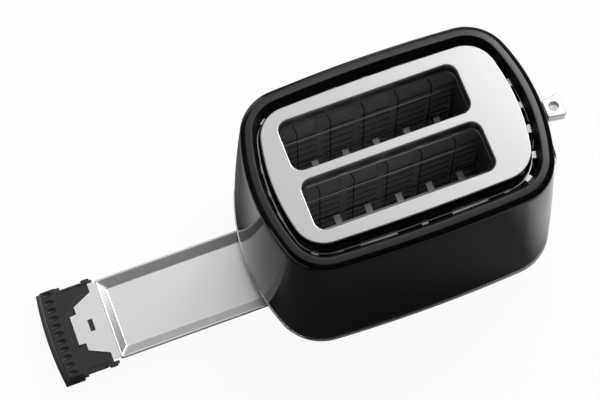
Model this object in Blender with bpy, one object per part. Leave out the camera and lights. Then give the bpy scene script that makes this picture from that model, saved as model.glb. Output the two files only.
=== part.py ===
"""Two-slot toaster with a flared black case, a metal top plate and a crumb tray that is drawn out.

Metres, +Z up. The origin is the middle of the base's flat underside. X runs along the slots: the crumb tray
comes out at -X, the lever and the controls are at +X. The rest pose has the tray drawn out and the lever up.
Run it with blender --background --python part.py, or from Blender's text editor.
"""

import math
from collections import namedtuple

import bmesh
import bpy
from mathutils import Matrix, Vector

Outline = namedtuple("Outline", "half_x half_y end_radius side_radius corner_radius")
Finish = namedtuple("Finish", "colour roughness metallic")

# Clearances that the whole model shares
CLEARANCE = 0.0003
OVERRUN = 0.002

# Curve fineness
END_STEPS = 4
CORNER_STEPS = 6
SIDE_STEPS = 4
SLOT_CORNER_STEPS = 5
ROUND_SIDES = 24
SMALL_ROUND_SIDES = 12

# Bread slots, which the case is built round
SLOT_LENGTH = 0.1400
SLOT_WIDTH = 0.0402
SLOT_BAR = 0.0087
SLOT_SHIFT = -0.0082
SLOT_CORNER = 0.0080
SLOT_ROLL = 0.0009

# Case outlines, seen from above: the top rim, and the wider base trim
RIM_END_MARGIN = 0.0433
RIM_SIDE_MARGIN = 0.03185
RIM_END_RADIUS = 0.155
RIM_SIDE_RADIUS = 1.150
RIM_CORNER_RADIUS = 0.0360
TRIM_END_FLARE = 0.0107
TRIM_SIDE_FLARE = 0.0096
TRIM_END_RADIUS = 0.165
TRIM_SIDE_RADIUS = 1.250
TRIM_CORNER_RADIUS = 0.0405

# Base of black plastic
BASE_EDGE_INSET = 0.0100
BASE_EDGE_RISE = 0.0020
BASE_WALL_INSET = 0.0080
BASE_WALL_TOP = 0.0188
BASE_FLANGE_RISE = 0.0012
BASE_FLANGE_INSET = 0.0016
BASE_FLANGE_WIDTH = 0.0028
BASE_WALL = 0.0024
BASE_FLOOR = 0.0024

# Flat panel in the middle of the underside, set off by a shallow groove
PANEL_HALF_X = 0.0420
PANEL_HALF_Y = 0.0270
PANEL_CORNER = 0.0050
PANEL_GROOVE = 0.0016
PANEL_GROOVE_DEPTH = 0.0006
PANEL_CORNER_STEPS = 3

# Trim ring
TRIM_BOTTOM = 0.0232
TRIM_HEIGHT = 0.0040
TRIM_WIDTH = 0.0038
TRIM_EDGE = 0.0006

# Outer shell
SHELL_SEAM = 0.1715
SHELL_WALL = 0.0024
SHELL_BULGE = 0.0008
SHELL_LEVELS = 4

# Top rim and the groove between it and the plate
RIM_WIDTH = 0.0115
RIM_RISE = 0.0040
RIM_WALL = 0.0020
RIM_ROOM = 0.0012
RIM_CROWN_SHARES = ((0.0, 0.0), (0.02, 0.35), (0.09, 0.68), (0.22, 0.90), (0.40, 1.0), (0.68, 0.98), (0.86, 0.82), (0.96, 0.50))
GROOVE_DEPTH = 0.0135
CHASSIS_SHEET = 0.0010

# Top plate with the two bread slots
PLATE_RISE = 0.0095
PLATE_SHEET = 0.0012
PLATE_END_INSET = 0.0173
PLATE_SIDE_INSET = 0.0204
PLATE_END_RADIUS = 0.205
PLATE_SIDE_RADIUS = 1.300
PLATE_CORNER_RADIUS = 0.0255
PLATE_EDGE_SHARES = ((0.0, 0.0), (0.0, 0.40), (0.30, 0.80), (0.90, 1.0))
COLLAR_WALL = 0.0008
COLLAR_DEPTH = 0.0120
COLLAR_ROOM = 0.0010

# Skirt that carries the plate
SKIRT_WALL = 0.0020
SKIRT_END_FLARE = 0.0034
SKIRT_SIDE_FLARE = 0.0042
SKIRT_STEP_SHARES = ((1.0, 0.0), (0.92, 0.34), (0.25, 0.46), (0.0, 1.0))

# Vents in the groove's floor: lengths, and distances along the skirt's foot from the middle of a side or an end
VENT_INNER = 0.0006
VENT_OUTER = 0.0028
SIDE_VENT_LENGTHS = (0.0190, 0.0130, 0.0132)
SIDE_VENT_PLACES = (0.0120, 0.0566, 0.0747)
END_VENT_LENGTHS = (0.0138, 0.0148)
END_VENT_PLACES = (0.0094, 0.0300)
CORNER_VENT_LENGTH = 0.0130
CORNER_VENT_POINTS = 4

# Feet and their screws
FOOT_HEIGHT = 0.0040
FOOT_RADIUS = 0.0085
FOOT_BORE = 0.0042
FOOT_WEB = 0.0012
FOOT_END_MARGIN = 0.0320
FOOT_SIDE_MARGIN = 0.0350
SCREW_HEAD_RADIUS = 0.0036
SCREW_HEAD_HEIGHT = 0.0016
SCREW_RADIUS = 0.0015
SCREW_TOP = 0.0140
BOSS_RADIUS = 0.0042
BOSS_TOP = 0.0120

# Cable gland in the rear wall of the base
GLAND_END_MARGIN = 0.0540
GLAND_Z = 0.0105
GLAND_BORE = 0.0036
GLAND_RADIUS = 0.0056
GLAND_FLANGE_RADIUS = 0.0074
GLAND_FLANGE = 0.0018
GLAND_NOSE = 0.0050

# Crumb tray: a shallow pan with a tongue that carries the handle. Setbacks are from the base's front face, shut
TRAY_KEPT = 0.0163
TRAY_FLOOR_TOP = 0.0050
TRAY_LIP_TOP = 0.0110
TRAY_SHEET = 0.0006
TRAY_HALF_Y = 0.0347
TRAY_LIP = 0.0012
TRAY_SIDE_SLOPE = 0.0085
TRAY_END_SLOPE = 0.0068
TRAY_CORNER = 0.0020
TRAY_REAR_MARGIN = 0.0370
TRAY_PAN_SETBACK = 0.0522
FLANGE_ROOT_SETBACK = 0.0462
FLANGE_NECK_SETBACK = 0.0302
FLANGE_TIP_SETBACK = 0.0246
FLANGE_ROOT_HALF_Y = 0.0330
FLANGE_SHOULDER_HALF_Y = 0.0267
FLANGE_NECK_HALF_Y = 0.0190
FLANGE_NOTCH_HALF_Y = 0.0128
FLANGE_TIP_HALF_Y = 0.0122
FLANGE_HOLE_SETBACK = 0.0389
FLANGE_HOLE_LENGTH = 0.0040
FLANGE_HOLE_WIDTH = 0.0100

# Tray handle: a bar with a bowed front and finger ovals, and a frame under the tongue
HANDLE_HALF_Y = 0.0397
HANDLE_BOTTOM = 0.0028
HANDLE_TOP = 0.0172
HANDLE_BOW = 0.0070
HANDLE_LENGTH = 0.0240
HANDLE_EDGE = 0.0010
HANDLE_BOW_STEPS = 12
HANDLE_FRAME_TOP = 0.0100
HANDLE_FRAME_BOTTOM = 0.0070
HANDLE_FRAME_HALF_Y = 0.0370
HANDLE_WING_LENGTH = 0.0170
HANDLE_WING_HALF_Y = 0.0345
HANDLE_CLIP_LENGTH = 0.0095
HANDLE_CLIP_WIDTH = 0.0014
HANDLE_OPENING_ROOM = 0.0008
OVAL_COUNT = 11
OVAL_PITCH = 0.00683
OVAL_LENGTH = 0.0085
OVAL_WIDTH = 0.0040
OVAL_DEPTH = 0.0010
OVAL_SIDES = 10
OVAL_FRONT_MARGIN = 0.0035

# Guides on the base floor for the tray
RUNNER_HALF_GAP = 0.0200
RUNNER_WIDTH = 0.0020
RUNNER_SETBACK = 0.0040
RAIL_ROOM = 0.0006
RAIL_WIDTH = 0.0020
RAIL_TOP = 0.0125
WIDE_RAIL_GAP = 0.0020
WIDE_RAIL_LENGTH = 0.0280
NARROW_RAIL_GAP = 0.0020
STOP_THICKNESS = 0.0020
STOP_HEIGHT = 0.0060
STOP_HALF_Y = 0.0300

# Chamber of sheet metal between two end plates
CHAMBER_MARGIN_LEFT = 0.0060
CHAMBER_MARGIN_RIGHT = 0.0050
END_PLATE_SHEET = 0.0010
END_PLATE_MARGIN = 0.00945
END_PLATE_SILL = 0.0200
END_PLATE_LEG = 0.0080
HEATER_SHEET = 0.0009
HEATER_BOTTOM = 0.0340
HEATER_HEADROOM = 0.0085
HEATER_OUTER_SETBACK = 0.0032
HEATER_INNER_HALF_GAP = 0.0014
SHIELD_SHEET = 0.0006
SHIELD_SETBACK = 0.0034

# Wire guards on both sides of each slice
GUARD_WIRE = 0.0014
GUARD_INSET = 0.0006
GUARD_BOTTOM = 0.0400
GUARD_HEADROOM = 0.0048
GUARD_LEVEL_SHARES = (0.0, 0.40, 0.80, 1.0)
GUARD_WIRES = 7
GUARD_SQUEEZE = 0.0080

# Lift: racks, carriage, lever and what guides them
RACK_DROP = 0.0650
RACK_LOWEST = 0.0430
RACK_HEIGHT = 0.0080
RACK_SHEET = 0.0012
RACK_HALF_Y = 0.0077
RACK_TAB_WIDTH = 0.0050
RACK_TAB_PITCH = 0.0250
RACK_TAB_COUNT = 5
RACK_TAB_SHIFT = 0.0049
RACK_OFFSET = 0.0008
RACK_REACH_LEFT = 0.0040
RACK_SLOT_ROOM = 0.0008
CARRIAGE_ROOM = 0.0102
CARRIAGE_SHEET = 0.0015
CARRIAGE_HALF_Y = 0.0300
CARRIAGE_HANG = 0.0040
CARRIAGE_HEIGHT = 0.0320
ROD_RADIUS = 0.0020
ROD_REACH = 0.0075
ROD_Y = 0.0140
ROD_FOOT = 0.0060
BUSH_HALF = 0.0055
BUSH_HEIGHT = 0.0200
BUSH_ROOM = 0.0003
SPRING_RADIUS = 0.0036
EAR_HALF = 0.0048
EAR_HEIGHT = 0.0020
SHELF_REACH = 0.0160
SHELF_HALF_Y = 0.0070
SHELF_SHEET = 0.0014
CATCH_SHEET = 0.0024
CATCH_LENGTH = 0.0110
ARM_HALF_Y = 0.0025
ARM_HEIGHT = 0.0044
ARM_INSET = 0.0008
ARM_GRIP = 0.0070
LEVER_SLOT_HALF_Y = 0.0033
LEVER_SLOT_ROOM = 0.0035
KNOB_GAP = 0.0005
LEVER_KNOB_LENGTH = 0.0145
LEVER_KNOB_RISE = 0.0038
LEVER_KNOB_THICKNESS = 0.0100
LEVER_KNOB_INNER_HALF_Y = 0.0062
LEVER_KNOB_OUTER_HALF_Y = 0.0090
LEVER_KNOB_CORNER = 0.0022
LEVER_KNOB_EDGE = 0.0008
LEVER_DISH_RADIUS = 0.0040
LEVER_DISH_DEPTH = 0.0012

# Controls on the +X end
BOARD_ROOM = 0.0030
BOARD_SHEET = 0.0014
BOARD_BOTTOM = 0.0240
BOARD_SHOULDER = 0.0560
BOARD_TOP = 0.0960
BOARD_LEFT_Y = -0.0300
BOARD_RIGHT_Y = 0.0400
BOARD_COLUMN_Y = 0.0140
BOARD_POST = 0.0040
DIAL_Z = 0.0450
DIAL_RADIUS = 0.0145
DIAL_DEPTH = 0.0126
DIAL_GAP = 0.0010
DIAL_EDGE = 0.0009
DIAL_SHAFT_RADIUS = 0.0030
DIAL_SHAFT_GRIP = 0.0060
DIAL_HOLE_ROOM = 0.0008
DIAL_POINTER_WIDTH = 0.0016
DIAL_POINTER_DEPTH = 0.0006
POT_LENGTH = 0.0080
POT_HALF = 0.0080
BUTTON_RADIUS = 0.0050
BUTTON_Y = 0.0260
BUTTON_LEVELS = (0.0560, 0.0710, 0.0860)
BUTTON_PROUD = 0.0020
BUTTON_LENGTH = 0.0160
BUTTON_EDGE = 0.0006
BUTTON_TRAVEL = 0.0014
SWITCH_HALF_Y = 0.0050
SWITCH_MARGIN = 0.0060

# Electromagnet that holds the lift down
MAGNET_HALF_X = 0.0055
MAGNET_HALF_Y = 0.0090
MAGNET_HEIGHT = 0.0160
MAGNET_GAP = 0.0006

# Places worked out from the sizes above
SLOT_Y = (SLOT_BAR + SLOT_WIDTH) / 2
SLOT_INNER_Y = SLOT_BAR / 2
SLOT_OUTER_Y = SLOT_BAR / 2 + SLOT_WIDTH
RIM = Outline(
    SLOT_LENGTH / 2 + RIM_END_MARGIN,
    SLOT_OUTER_Y + RIM_SIDE_MARGIN,
    RIM_END_RADIUS,
    RIM_SIDE_RADIUS,
    RIM_CORNER_RADIUS,
)
TRIM = Outline(
    RIM.half_x + TRIM_END_FLARE,
    RIM.half_y + TRIM_SIDE_FLARE,
    TRIM_END_RADIUS,
    TRIM_SIDE_RADIUS,
    TRIM_CORNER_RADIUS,
)
TRIM_TOP = TRIM_BOTTOM + TRIM_HEIGHT
BASE_TOP = TRIM_BOTTOM - CLEARANCE
SHELL_BOTTOM = TRIM_TOP + CLEARANCE
SHELL_TOP = SHELL_SEAM - CLEARANCE
PLATE_TOP = SHELL_SEAM + PLATE_RISE
GROOVE_FLOOR = PLATE_TOP - GROOVE_DEPTH
CHASSIS_UNDERSIDE = GROOVE_FLOOR - CHASSIS_SHEET
PLATE_BOTTOM = PLATE_TOP - PLATE_SHEET
PLATE = Outline(
    RIM.half_x - PLATE_END_INSET,
    RIM.half_y - PLATE_SIDE_INSET,
    PLATE_END_RADIUS,
    PLATE_SIDE_RADIUS,
    PLATE_CORNER_RADIUS,
)
RACK_Y = SLOT_Y - RACK_OFFSET
SKIRT_FOOT = Outline(
    PLATE.half_x + SKIRT_END_FLARE,
    PLATE.half_y + SKIRT_SIDE_FLARE,
    PLATE.end_radius + SKIRT_END_FLARE,
    PLATE.side_radius + SKIRT_SIDE_FLARE,
    PLATE.corner_radius + (SKIRT_END_FLARE + SKIRT_SIDE_FLARE) / 2,
)
CHAMBER_LEFT = SLOT_SHIFT - SLOT_LENGTH / 2 - CHAMBER_MARGIN_LEFT
CHAMBER_RIGHT = SLOT_SHIFT + SLOT_LENGTH / 2 + CHAMBER_MARGIN_RIGHT
CHAMBER_MIDDLE = (CHAMBER_LEFT + CHAMBER_RIGHT) / 2
RACK_TOP = PLATE_TOP - RACK_DROP
RACK_UNDERSIDE = RACK_TOP - RACK_HEIGHT
LIFT_TRAVEL = RACK_UNDERSIDE - RACK_LOWEST
HEATER_TOP = CHASSIS_UNDERSIDE - HEATER_HEADROOM
GUARD_TOP = CHASSIS_UNDERSIDE - GUARD_HEADROOM - GUARD_WIRE / 2
END_PLATE_HALF_Y = SLOT_OUTER_Y + END_PLATE_MARGIN
CARRIAGE_X = CHAMBER_RIGHT + END_PLATE_SHEET + CARRIAGE_ROOM
CARRIAGE_BOTTOM = RACK_UNDERSIDE - CARRIAGE_HANG
CARRIAGE_TOP = CARRIAGE_BOTTOM + CARRIAGE_HEIGHT
ROD_X = CARRIAGE_X + ROD_REACH
ARM_TOP = CARRIAGE_TOP - ARM_INSET
ARM_BOTTOM = ARM_TOP - ARM_HEIGHT
LEVER_KNOB_TOP = ARM_TOP + LEVER_KNOB_RISE
BOARD_X = CARRIAGE_X + CARRIAGE_SHEET + SHELF_REACH + BOARD_ROOM
FRONT_FACE = BASE_WALL_INSET - TRIM.half_x
TRAY_REAR_CLOSED = -FRONT_FACE - TRAY_REAR_MARGIN
TRAY_TRAVEL = TRAY_REAR_CLOSED - FRONT_FACE - TRAY_KEPT
TRAY_PAN_CLOSED = FRONT_FACE + TRAY_PAN_SETBACK
FLANGE_ROOT_CLOSED = FRONT_FACE + FLANGE_ROOT_SETBACK
FLANGE_NECK_CLOSED = FRONT_FACE + FLANGE_NECK_SETBACK
FLANGE_TIP_CLOSED = FRONT_FACE + FLANGE_TIP_SETBACK
FLANGE_HOLE_CENTRE_CLOSED = FRONT_FACE + FLANGE_HOLE_SETBACK
HANDLE_FRONT_CLOSED = FRONT_FACE
HANDLE_INNER_CLOSED = HANDLE_FRONT_CLOSED + HANDLE_LENGTH
HANDLE_WING_END_CLOSED = HANDLE_INNER_CLOSED + HANDLE_WING_LENGTH
HANDLE_CLIP_END_CLOSED = HANDLE_WING_END_CLOSED + HANDLE_CLIP_LENGTH
RUNNER_FRONT = FRONT_FACE + RUNNER_SETBACK
RUNNER_TOP = TRAY_FLOOR_TOP - TRAY_SHEET - CLEARANCE
WIDE_RAIL_FRONT = HANDLE_INNER_CLOSED + WIDE_RAIL_GAP
WIDE_RAIL_END = WIDE_RAIL_FRONT + WIDE_RAIL_LENGTH
NARROW_RAIL_FRONT = WIDE_RAIL_END + NARROW_RAIL_GAP
FOOT_X = TRIM.half_x - FOOT_END_MARGIN
FOOT_Y = TRIM.half_y - FOOT_SIDE_MARGIN
GLAND_X = TRIM.half_x - GLAND_END_MARGIN
SIDE_NAMES = ((1, "rear"), (-1, "front"))

# Finishes
GLOSS_BLACK = Finish((0.012, 0.012, 0.013), 0.08, 0.0)
SATIN_BLACK = Finish((0.030, 0.030, 0.032), 0.38, 0.0)
BASE_BLACK = Finish((0.025, 0.025, 0.026), 0.50, 0.0)
SATIN_METAL = Finish((0.78, 0.78, 0.77), 0.30, 1.0)
ZINC_SHEET = Finish((0.66, 0.67, 0.68), 0.42, 1.0)
CHROME = Finish((0.86, 0.86, 0.87), 0.06, 1.0)
MICA = Finish((0.30, 0.26, 0.20), 0.60, 0.0)
RUBBER = Finish((0.020, 0.020, 0.020), 0.85, 0.0)
BOARD_GREEN = Finish((0.05, 0.16, 0.08), 0.55, 0.0)
COPPER_COIL = Finish((0.55, 0.27, 0.14), 0.35, 1.0)


def grown(outline, distance):
    """The outline moved outwards by a distance, or inwards by a negative one."""
    return Outline(*(value + distance for value in outline))


def blended(first, second, share):
    """An outline between two others."""
    return Outline(*(a + (b - a) * share for a, b in zip(first, second)))


def quarter_points(outline):
    """The points from the middle of the +X end to the middle of the +Y side: arc, corner arc, arc."""
    end_centre = outline.half_x - outline.end_radius
    side_centre = outline.half_y - outline.side_radius
    to_end = outline.end_radius - outline.corner_radius
    to_side = outline.side_radius - outline.corner_radius
    apart = math.hypot(end_centre, side_centre)
    along = (to_end**2 - to_side**2 + apart**2) / (2 * apart)
    across = math.sqrt(to_end**2 - along**2)
    unit_x, unit_y = -end_centre / apart, side_centre / apart
    middles = [
        (end_centre + unit_x * along - sign * unit_y * across, unit_y * along + sign * unit_x * across)
        for sign in (1, -1)
    ]
    corner_x, corner_y = max(middles, key=sum)
    low = math.atan2(corner_y, corner_x - end_centre)
    high = math.atan2(corner_y - side_centre, corner_x)
    arcs = (
        (end_centre, 0.0, outline.end_radius, 0.0, low, END_STEPS),
        (corner_x, corner_y, outline.corner_radius, low, high, CORNER_STEPS),
        (0.0, side_centre, outline.side_radius, high, math.pi / 2, SIDE_STEPS),
    )
    points = [(outline.half_x, 0.0)]
    for x, y, radius, start, end, steps in arcs:
        for step in range(1, steps + 1):
            angle = start + (end - start) * step / steps
            points.append((x + radius * math.cos(angle), y + radius * math.sin(angle)))
    return points


def outline_points(outline):
    """The whole outline, anticlockwise from the middle of the +X end."""
    first = quarter_points(outline)
    second = [(-x, y) for x, y in reversed(first[:-1])]
    third = [(-x, -y) for x, y in first[1:]]
    fourth = [(x, -y) for x, y in reversed(first[1:-1])]
    return first + second + third + fourth


def rounded_rectangle(centre_x, centre_y, half_x, half_y, radius, steps):
    points = []
    for quadrant, (sign_x, sign_y) in enumerate(((1, 1), (-1, 1), (-1, -1), (1, -1))):
        for step in range(steps + 1):
            angle = math.pi / 2 * (quadrant + step / steps)
            points.append(
                (
                    centre_x + sign_x * (half_x - radius) + radius * math.cos(angle),
                    centre_y + sign_y * (half_y - radius) + radius * math.sin(angle),
                )
            )
    return points


def circle_points(centre_a, centre_b, radius, sides):
    turns = [2 * math.pi * step / sides for step in range(sides)]
    return [(centre_a + radius * math.cos(t), centre_b + radius * math.sin(t)) for t in turns]


def at_height(points, height):
    return [(x, y, height) for x, y in points]


def along_axis(points, place, axis):
    """Puts flat points on the plane at a place along an axis."""
    if axis == "x":
        return [(place, a, b) for a, b in points]
    if axis == "y":
        return [(a, place, b) for a, b in points]
    return [(a, b, place) for a, b in points]


def loft(name, rings, looped=False):
    """A closed skin through rings of equal count, with capped ends or joined round into a loop."""
    mesh = bmesh.new()
    rows = [[mesh.verts.new(point) for point in ring] for ring in rings]
    count = len(rows[0])
    pairs = list(zip(rows, rows[1:]))
    if looped:
        pairs.append((rows[-1], rows[0]))
    else:
        mesh.faces.new(rows[0])
        mesh.faces.new(rows[-1])
    for lower, upper in pairs:
        for i in range(count):
            j = (i + 1) % count
            mesh.faces.new((lower[i], lower[j], upper[j], upper[i]))
    return built(name, mesh)


def built(name, mesh):
    """Turns a bmesh into a linked object whose faces point out."""
    bmesh.ops.recalc_face_normals(mesh, faces=mesh.faces)
    data = bpy.data.meshes.new(name)
    mesh.to_mesh(data)
    mesh.free()
    piece = bpy.data.objects.new(name, data)
    bpy.context.scene.collection.objects.link(piece)
    return piece


def prism(name, points, low, high, axis="z"):
    return loft(name, [along_axis(points, low, axis), along_axis(points, high, axis)])


def block(name, low, high):
    corners = [(low[0], low[1]), (high[0], low[1]), (high[0], high[1]), (low[0], high[1])]
    return prism(name, corners, low[2], high[2])


def rod(name, centre_a, centre_b, radius, low, high, axis, sides=SMALL_ROUND_SIDES):
    return prism(name, circle_points(centre_a, centre_b, radius, sides), low, high, axis)


def combined(piece, tools, operation):
    """Cuts or joins the tools and removes them."""
    for tool in tools:
        modifier = piece.modifiers.new(operation.lower(), "BOOLEAN")
        modifier.operation = operation
        modifier.solver = "EXACT"
        modifier.object = tool
    bpy.context.view_layer.update()
    graph = bpy.context.evaluated_depsgraph_get()
    plain = piece.data
    piece.data = bpy.data.meshes.new_from_object(piece.evaluated_get(graph))
    piece.modifiers.clear()
    bpy.data.meshes.remove(plain)
    for tool in tools:
        bpy.data.objects.remove(tool)
    return piece


def cut(piece, *tools):
    return combined(piece, tools, "DIFFERENCE")


def joined(piece, *tools):
    return combined(piece, tools, "UNION")


def eased(piece, width, segments=1):
    """Breaks the sharp edges with a bevel."""
    modifier = piece.modifiers.new("edges", "BEVEL")
    modifier.width = width
    modifier.segments = segments
    modifier.limit_method = "ANGLE"
    modifier.angle_limit = math.radians(50)
    return piece


def material_of(name, finish):
    material = bpy.data.materials.new(name)
    material.use_nodes = True
    shader = material.node_tree.nodes["Principled BSDF"]
    shader.inputs["Base Color"].default_value = (*finish.colour, 1.0)
    shader.inputs["Roughness"].default_value = finish.roughness
    shader.inputs["Metallic"].default_value = finish.metallic
    return material


def finished(piece, finish, joint=None):
    """Gives a piece its own material, soft shading, and its joint's empty as parent."""
    piece.data.materials.clear()
    piece.data.materials.append(material_of(piece.name, finish))
    piece.data.shade_smooth()
    piece.data.set_sharp_from_angle(angle=math.radians(35))
    if joint is not None:
        piece.data.transform(Matrix.Translation(-joint.location))
        piece.parent = joint
    return piece


def joint_at(name, place):
    joint = bpy.data.objects.new(name, None)
    joint.location = place
    bpy.context.scene.collection.objects.link(joint)
    return joint


def make_base():
    """A bowl with a wall, a flange under the trim, runners and rails for the tray, and bosses."""
    outer = (
        (0.0, BASE_EDGE_INSET),
        (BASE_EDGE_RISE, BASE_WALL_INSET),
        (BASE_WALL_TOP, BASE_WALL_INSET),
        (BASE_WALL_TOP + BASE_FLANGE_RISE, BASE_FLANGE_INSET),
        (BASE_TOP, BASE_FLANGE_INSET),
    )
    inner = (
        (BASE_TOP, BASE_FLANGE_INSET + BASE_FLANGE_WIDTH),
        (BASE_WALL_TOP + BASE_FLANGE_RISE + BASE_WALL / 2, BASE_FLANGE_INSET + BASE_FLANGE_WIDTH),
        (BASE_WALL_TOP + BASE_FLANGE_RISE / 2, BASE_WALL_INSET + BASE_WALL),
        (BASE_FLOOR, BASE_WALL_INSET + BASE_WALL),
    )
    rings = [at_height(outline_points(grown(TRIM, -inset)), height) for height, inset in outer + inner]
    base = loft("base_plate", rings)
    sunk = BASE_FLOOR / 2
    boss_places = [(x, y) for x in (-FOOT_X, FOOT_X) for y in (-FOOT_Y, FOOT_Y)]
    additions = [rod("boss", x, y, BOSS_RADIUS, sunk, BOSS_TOP, "z") for x, y in boss_places]
    for side in (-1, 1):
        additions.append(
            block(
                "runner",
                (RUNNER_FRONT, side * RUNNER_HALF_GAP - RUNNER_WIDTH / 2, sunk),
                (TRAY_REAR_CLOSED, side * RUNNER_HALF_GAP + RUNNER_WIDTH / 2, RUNNER_TOP),
            )
        )
        rails = (
            (WIDE_RAIL_FRONT, WIDE_RAIL_END, HANDLE_FRAME_HALF_Y + HANDLE_CLIP_WIDTH + RAIL_ROOM),
            (NARROW_RAIL_FRONT, TRAY_REAR_CLOSED, TRAY_HALF_Y + RAIL_ROOM),
        )
        for start, end, inside in rails:
            edges = sorted((side * inside, side * (inside + RAIL_WIDTH)))
            additions.append(block("rail", (start, edges[0], sunk), (end, edges[1], RAIL_TOP)))
    stop = TRAY_REAR_CLOSED + CLEARANCE
    additions.append(
        block("stop", (stop, -STOP_HALF_Y, sunk), (stop + STOP_THICKNESS, STOP_HALF_Y, BASE_FLOOR + STOP_HEIGHT))
    )
    magnet_x = magnet_centre_x()
    additions.append(
        block(
            "pedestal",
            (magnet_x - MAGNET_HALF_X, -MAGNET_HALF_Y, sunk),
            (magnet_x + MAGNET_HALF_X, MAGNET_HALF_Y, magnet_bottom() - CLEARANCE),
        )
    )
    additions.append(
        block(
            "rod_boss",
            (ROD_X - BUSH_HALF, ROD_Y - BUSH_HALF, sunk),
            (ROD_X + BUSH_HALF, ROD_Y + BUSH_HALF, ROD_FOOT - CLEARANCE),
        )
    )
    board_middle = BOARD_X + BOARD_SHEET / 2
    for y in (BOARD_LEFT_Y + BOARD_POST, BOARD_RIGHT_Y - BOARD_POST):
        additions.append(
            block(
                "board_post",
                (board_middle - BOARD_POST / 2, y - BOARD_POST / 2, sunk),
                (board_middle + BOARD_POST / 2, y + BOARD_POST / 2, BOARD_BOTTOM - CLEARANCE),
            )
        )
    handle_half = HANDLE_HALF_Y + HANDLE_OPENING_ROOM
    cuts = [
        block(
            "handle_opening",
            (-TRIM.half_x, -handle_half, BASE_FLOOR),
            (WIDE_RAIL_FRONT - OVERRUN, handle_half, HANDLE_TOP + HANDLE_OPENING_ROOM),
        ),
        rod(
            "gland_hole",
            GLAND_X,
            GLAND_Z,
            GLAND_RADIUS + CLEARANCE,
            TRIM.half_y / 2,
            TRIM.half_y,
            "y",
        ),
    ]
    joined(cut(base, *cuts), *additions)
    holes = [
        rod("screw_hole", x, y, SCREW_RADIUS + CLEARANCE, -OVERRUN, SCREW_TOP + OVERRUN, "z", 8)
        for x, y in boss_places
    ]
    return finished(cut(base, *holes, panel_groove()), BASE_BLACK)


def panel_groove():
    """The cutter for the groove round the underside's panel."""
    section = ((0.0, -OVERRUN), (0.0, PANEL_GROOVE_DEPTH), (PANEL_GROOVE, PANEL_GROOVE_DEPTH), (PANEL_GROOVE, -OVERRUN))
    rings = [
        at_height(
            rounded_rectangle(
                0.0,
                0.0,
                PANEL_HALF_X - inset,
                PANEL_HALF_Y - inset,
                PANEL_CORNER - inset,
                PANEL_CORNER_STEPS,
            ),
            height,
        )
        for inset, height in section
    ]
    return loft("panel_groove", rings, looped=True)


def make_trim():
    bottom, top = TRIM_BOTTOM, TRIM_TOP
    section = (
        (TRIM_EDGE, bottom),
        (0.0, bottom + TRIM_EDGE),
        (0.0, top - TRIM_EDGE),
        (TRIM_EDGE, top),
        (TRIM_WIDTH, top),
        (TRIM_WIDTH, bottom),
    )
    rings = [at_height(outline_points(grown(TRIM, -inset)), height) for inset, height in section]
    return finished(loft("base_trim", rings, looped=True), CHROME)


def shell_outline(height):
    """The shell's outside at a height: from inside the trim's edge up to the rim, with a slight bulge."""
    share = (height - SHELL_BOTTOM) / (SHELL_TOP - SHELL_BOTTOM)
    plain = blended(grown(TRIM, -TRIM_EDGE), RIM, share)
    return grown(plain, SHELL_BULGE * 4 * share * (1 - share))


def shell_end_x(height, y=0.0):
    """How far out the shell's +X end face is at a height and a distance from the middle."""
    outline = shell_outline(height)
    return outline.half_x - outline.end_radius + math.sqrt(outline.end_radius**2 - y**2)


def make_shell():
    heights = [SHELL_BOTTOM + (SHELL_TOP - SHELL_BOTTOM) * i / SHELL_LEVELS for i in range(SHELL_LEVELS + 1)]
    rings = [at_height(outline_points(shell_outline(height)), height) for height in heights]
    rings += [at_height(outline_points(grown(shell_outline(h), -SHELL_WALL)), h) for h in reversed(heights)]
    shell = loft("outer_shell", rings, looped=True)
    near, far = BOARD_X, TRIM.half_x + OVERRUN
    tools = [
        block(
            "lever_slot",
            (near, -LEVER_SLOT_HALF_Y, ARM_BOTTOM - LIFT_TRAVEL - LEVER_SLOT_ROOM),
            (far, LEVER_SLOT_HALF_Y, ARM_TOP + LEVER_SLOT_ROOM),
        ),
        rod("dial_hole", 0.0, DIAL_Z, DIAL_SHAFT_RADIUS + DIAL_HOLE_ROOM, near, far, "x"),
    ]
    for level in BUTTON_LEVELS:
        tools.append(rod("button_hole", BUTTON_Y, level, BUTTON_RADIUS + CLEARANCE, near, far, "x", ROUND_SIDES))
    return finished(cut(shell, *tools), GLOSS_BLACK)


def make_rim():
    """A crowned ring on the shell's edge, with an inner wall down to the groove's floor."""
    foot = GROOVE_FLOOR + CLEARANCE
    seat = SHELL_WALL + CLEARANCE
    section = [(width * RIM_WIDTH, SHELL_SEAM + rise * RIM_RISE) for width, rise in RIM_CROWN_SHARES]
    section += [
        (RIM_WIDTH, SHELL_SEAM),
        (RIM_WIDTH, foot),
        (RIM_WIDTH - RIM_WALL, foot),
        (RIM_WIDTH - RIM_WALL, SHELL_SEAM + RIM_ROOM),
        (seat, SHELL_SEAM + RIM_ROOM),
        (seat, SHELL_SEAM),
    ]
    rings = [at_height(outline_points(grown(RIM, -inset)), height) for inset, height in section]
    return finished(loft("top_rim", rings, looped=True), SATIN_BLACK)


def along_quarter(outline, place):
    """A point and its outward direction at a distance along the quarter, from the end's middle."""
    points = quarter_points(outline)
    for (x0, y0), (x1, y1) in zip(points, points[1:]):
        length = math.hypot(x1 - x0, y1 - y0)
        if place <= length or (x1, y1) == points[-1]:
            share = place / length
            return x0 + (x1 - x0) * share, y0 + (y1 - y0) * share, (y1 - y0) / length, (x0 - x1) / length
        place -= length


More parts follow.
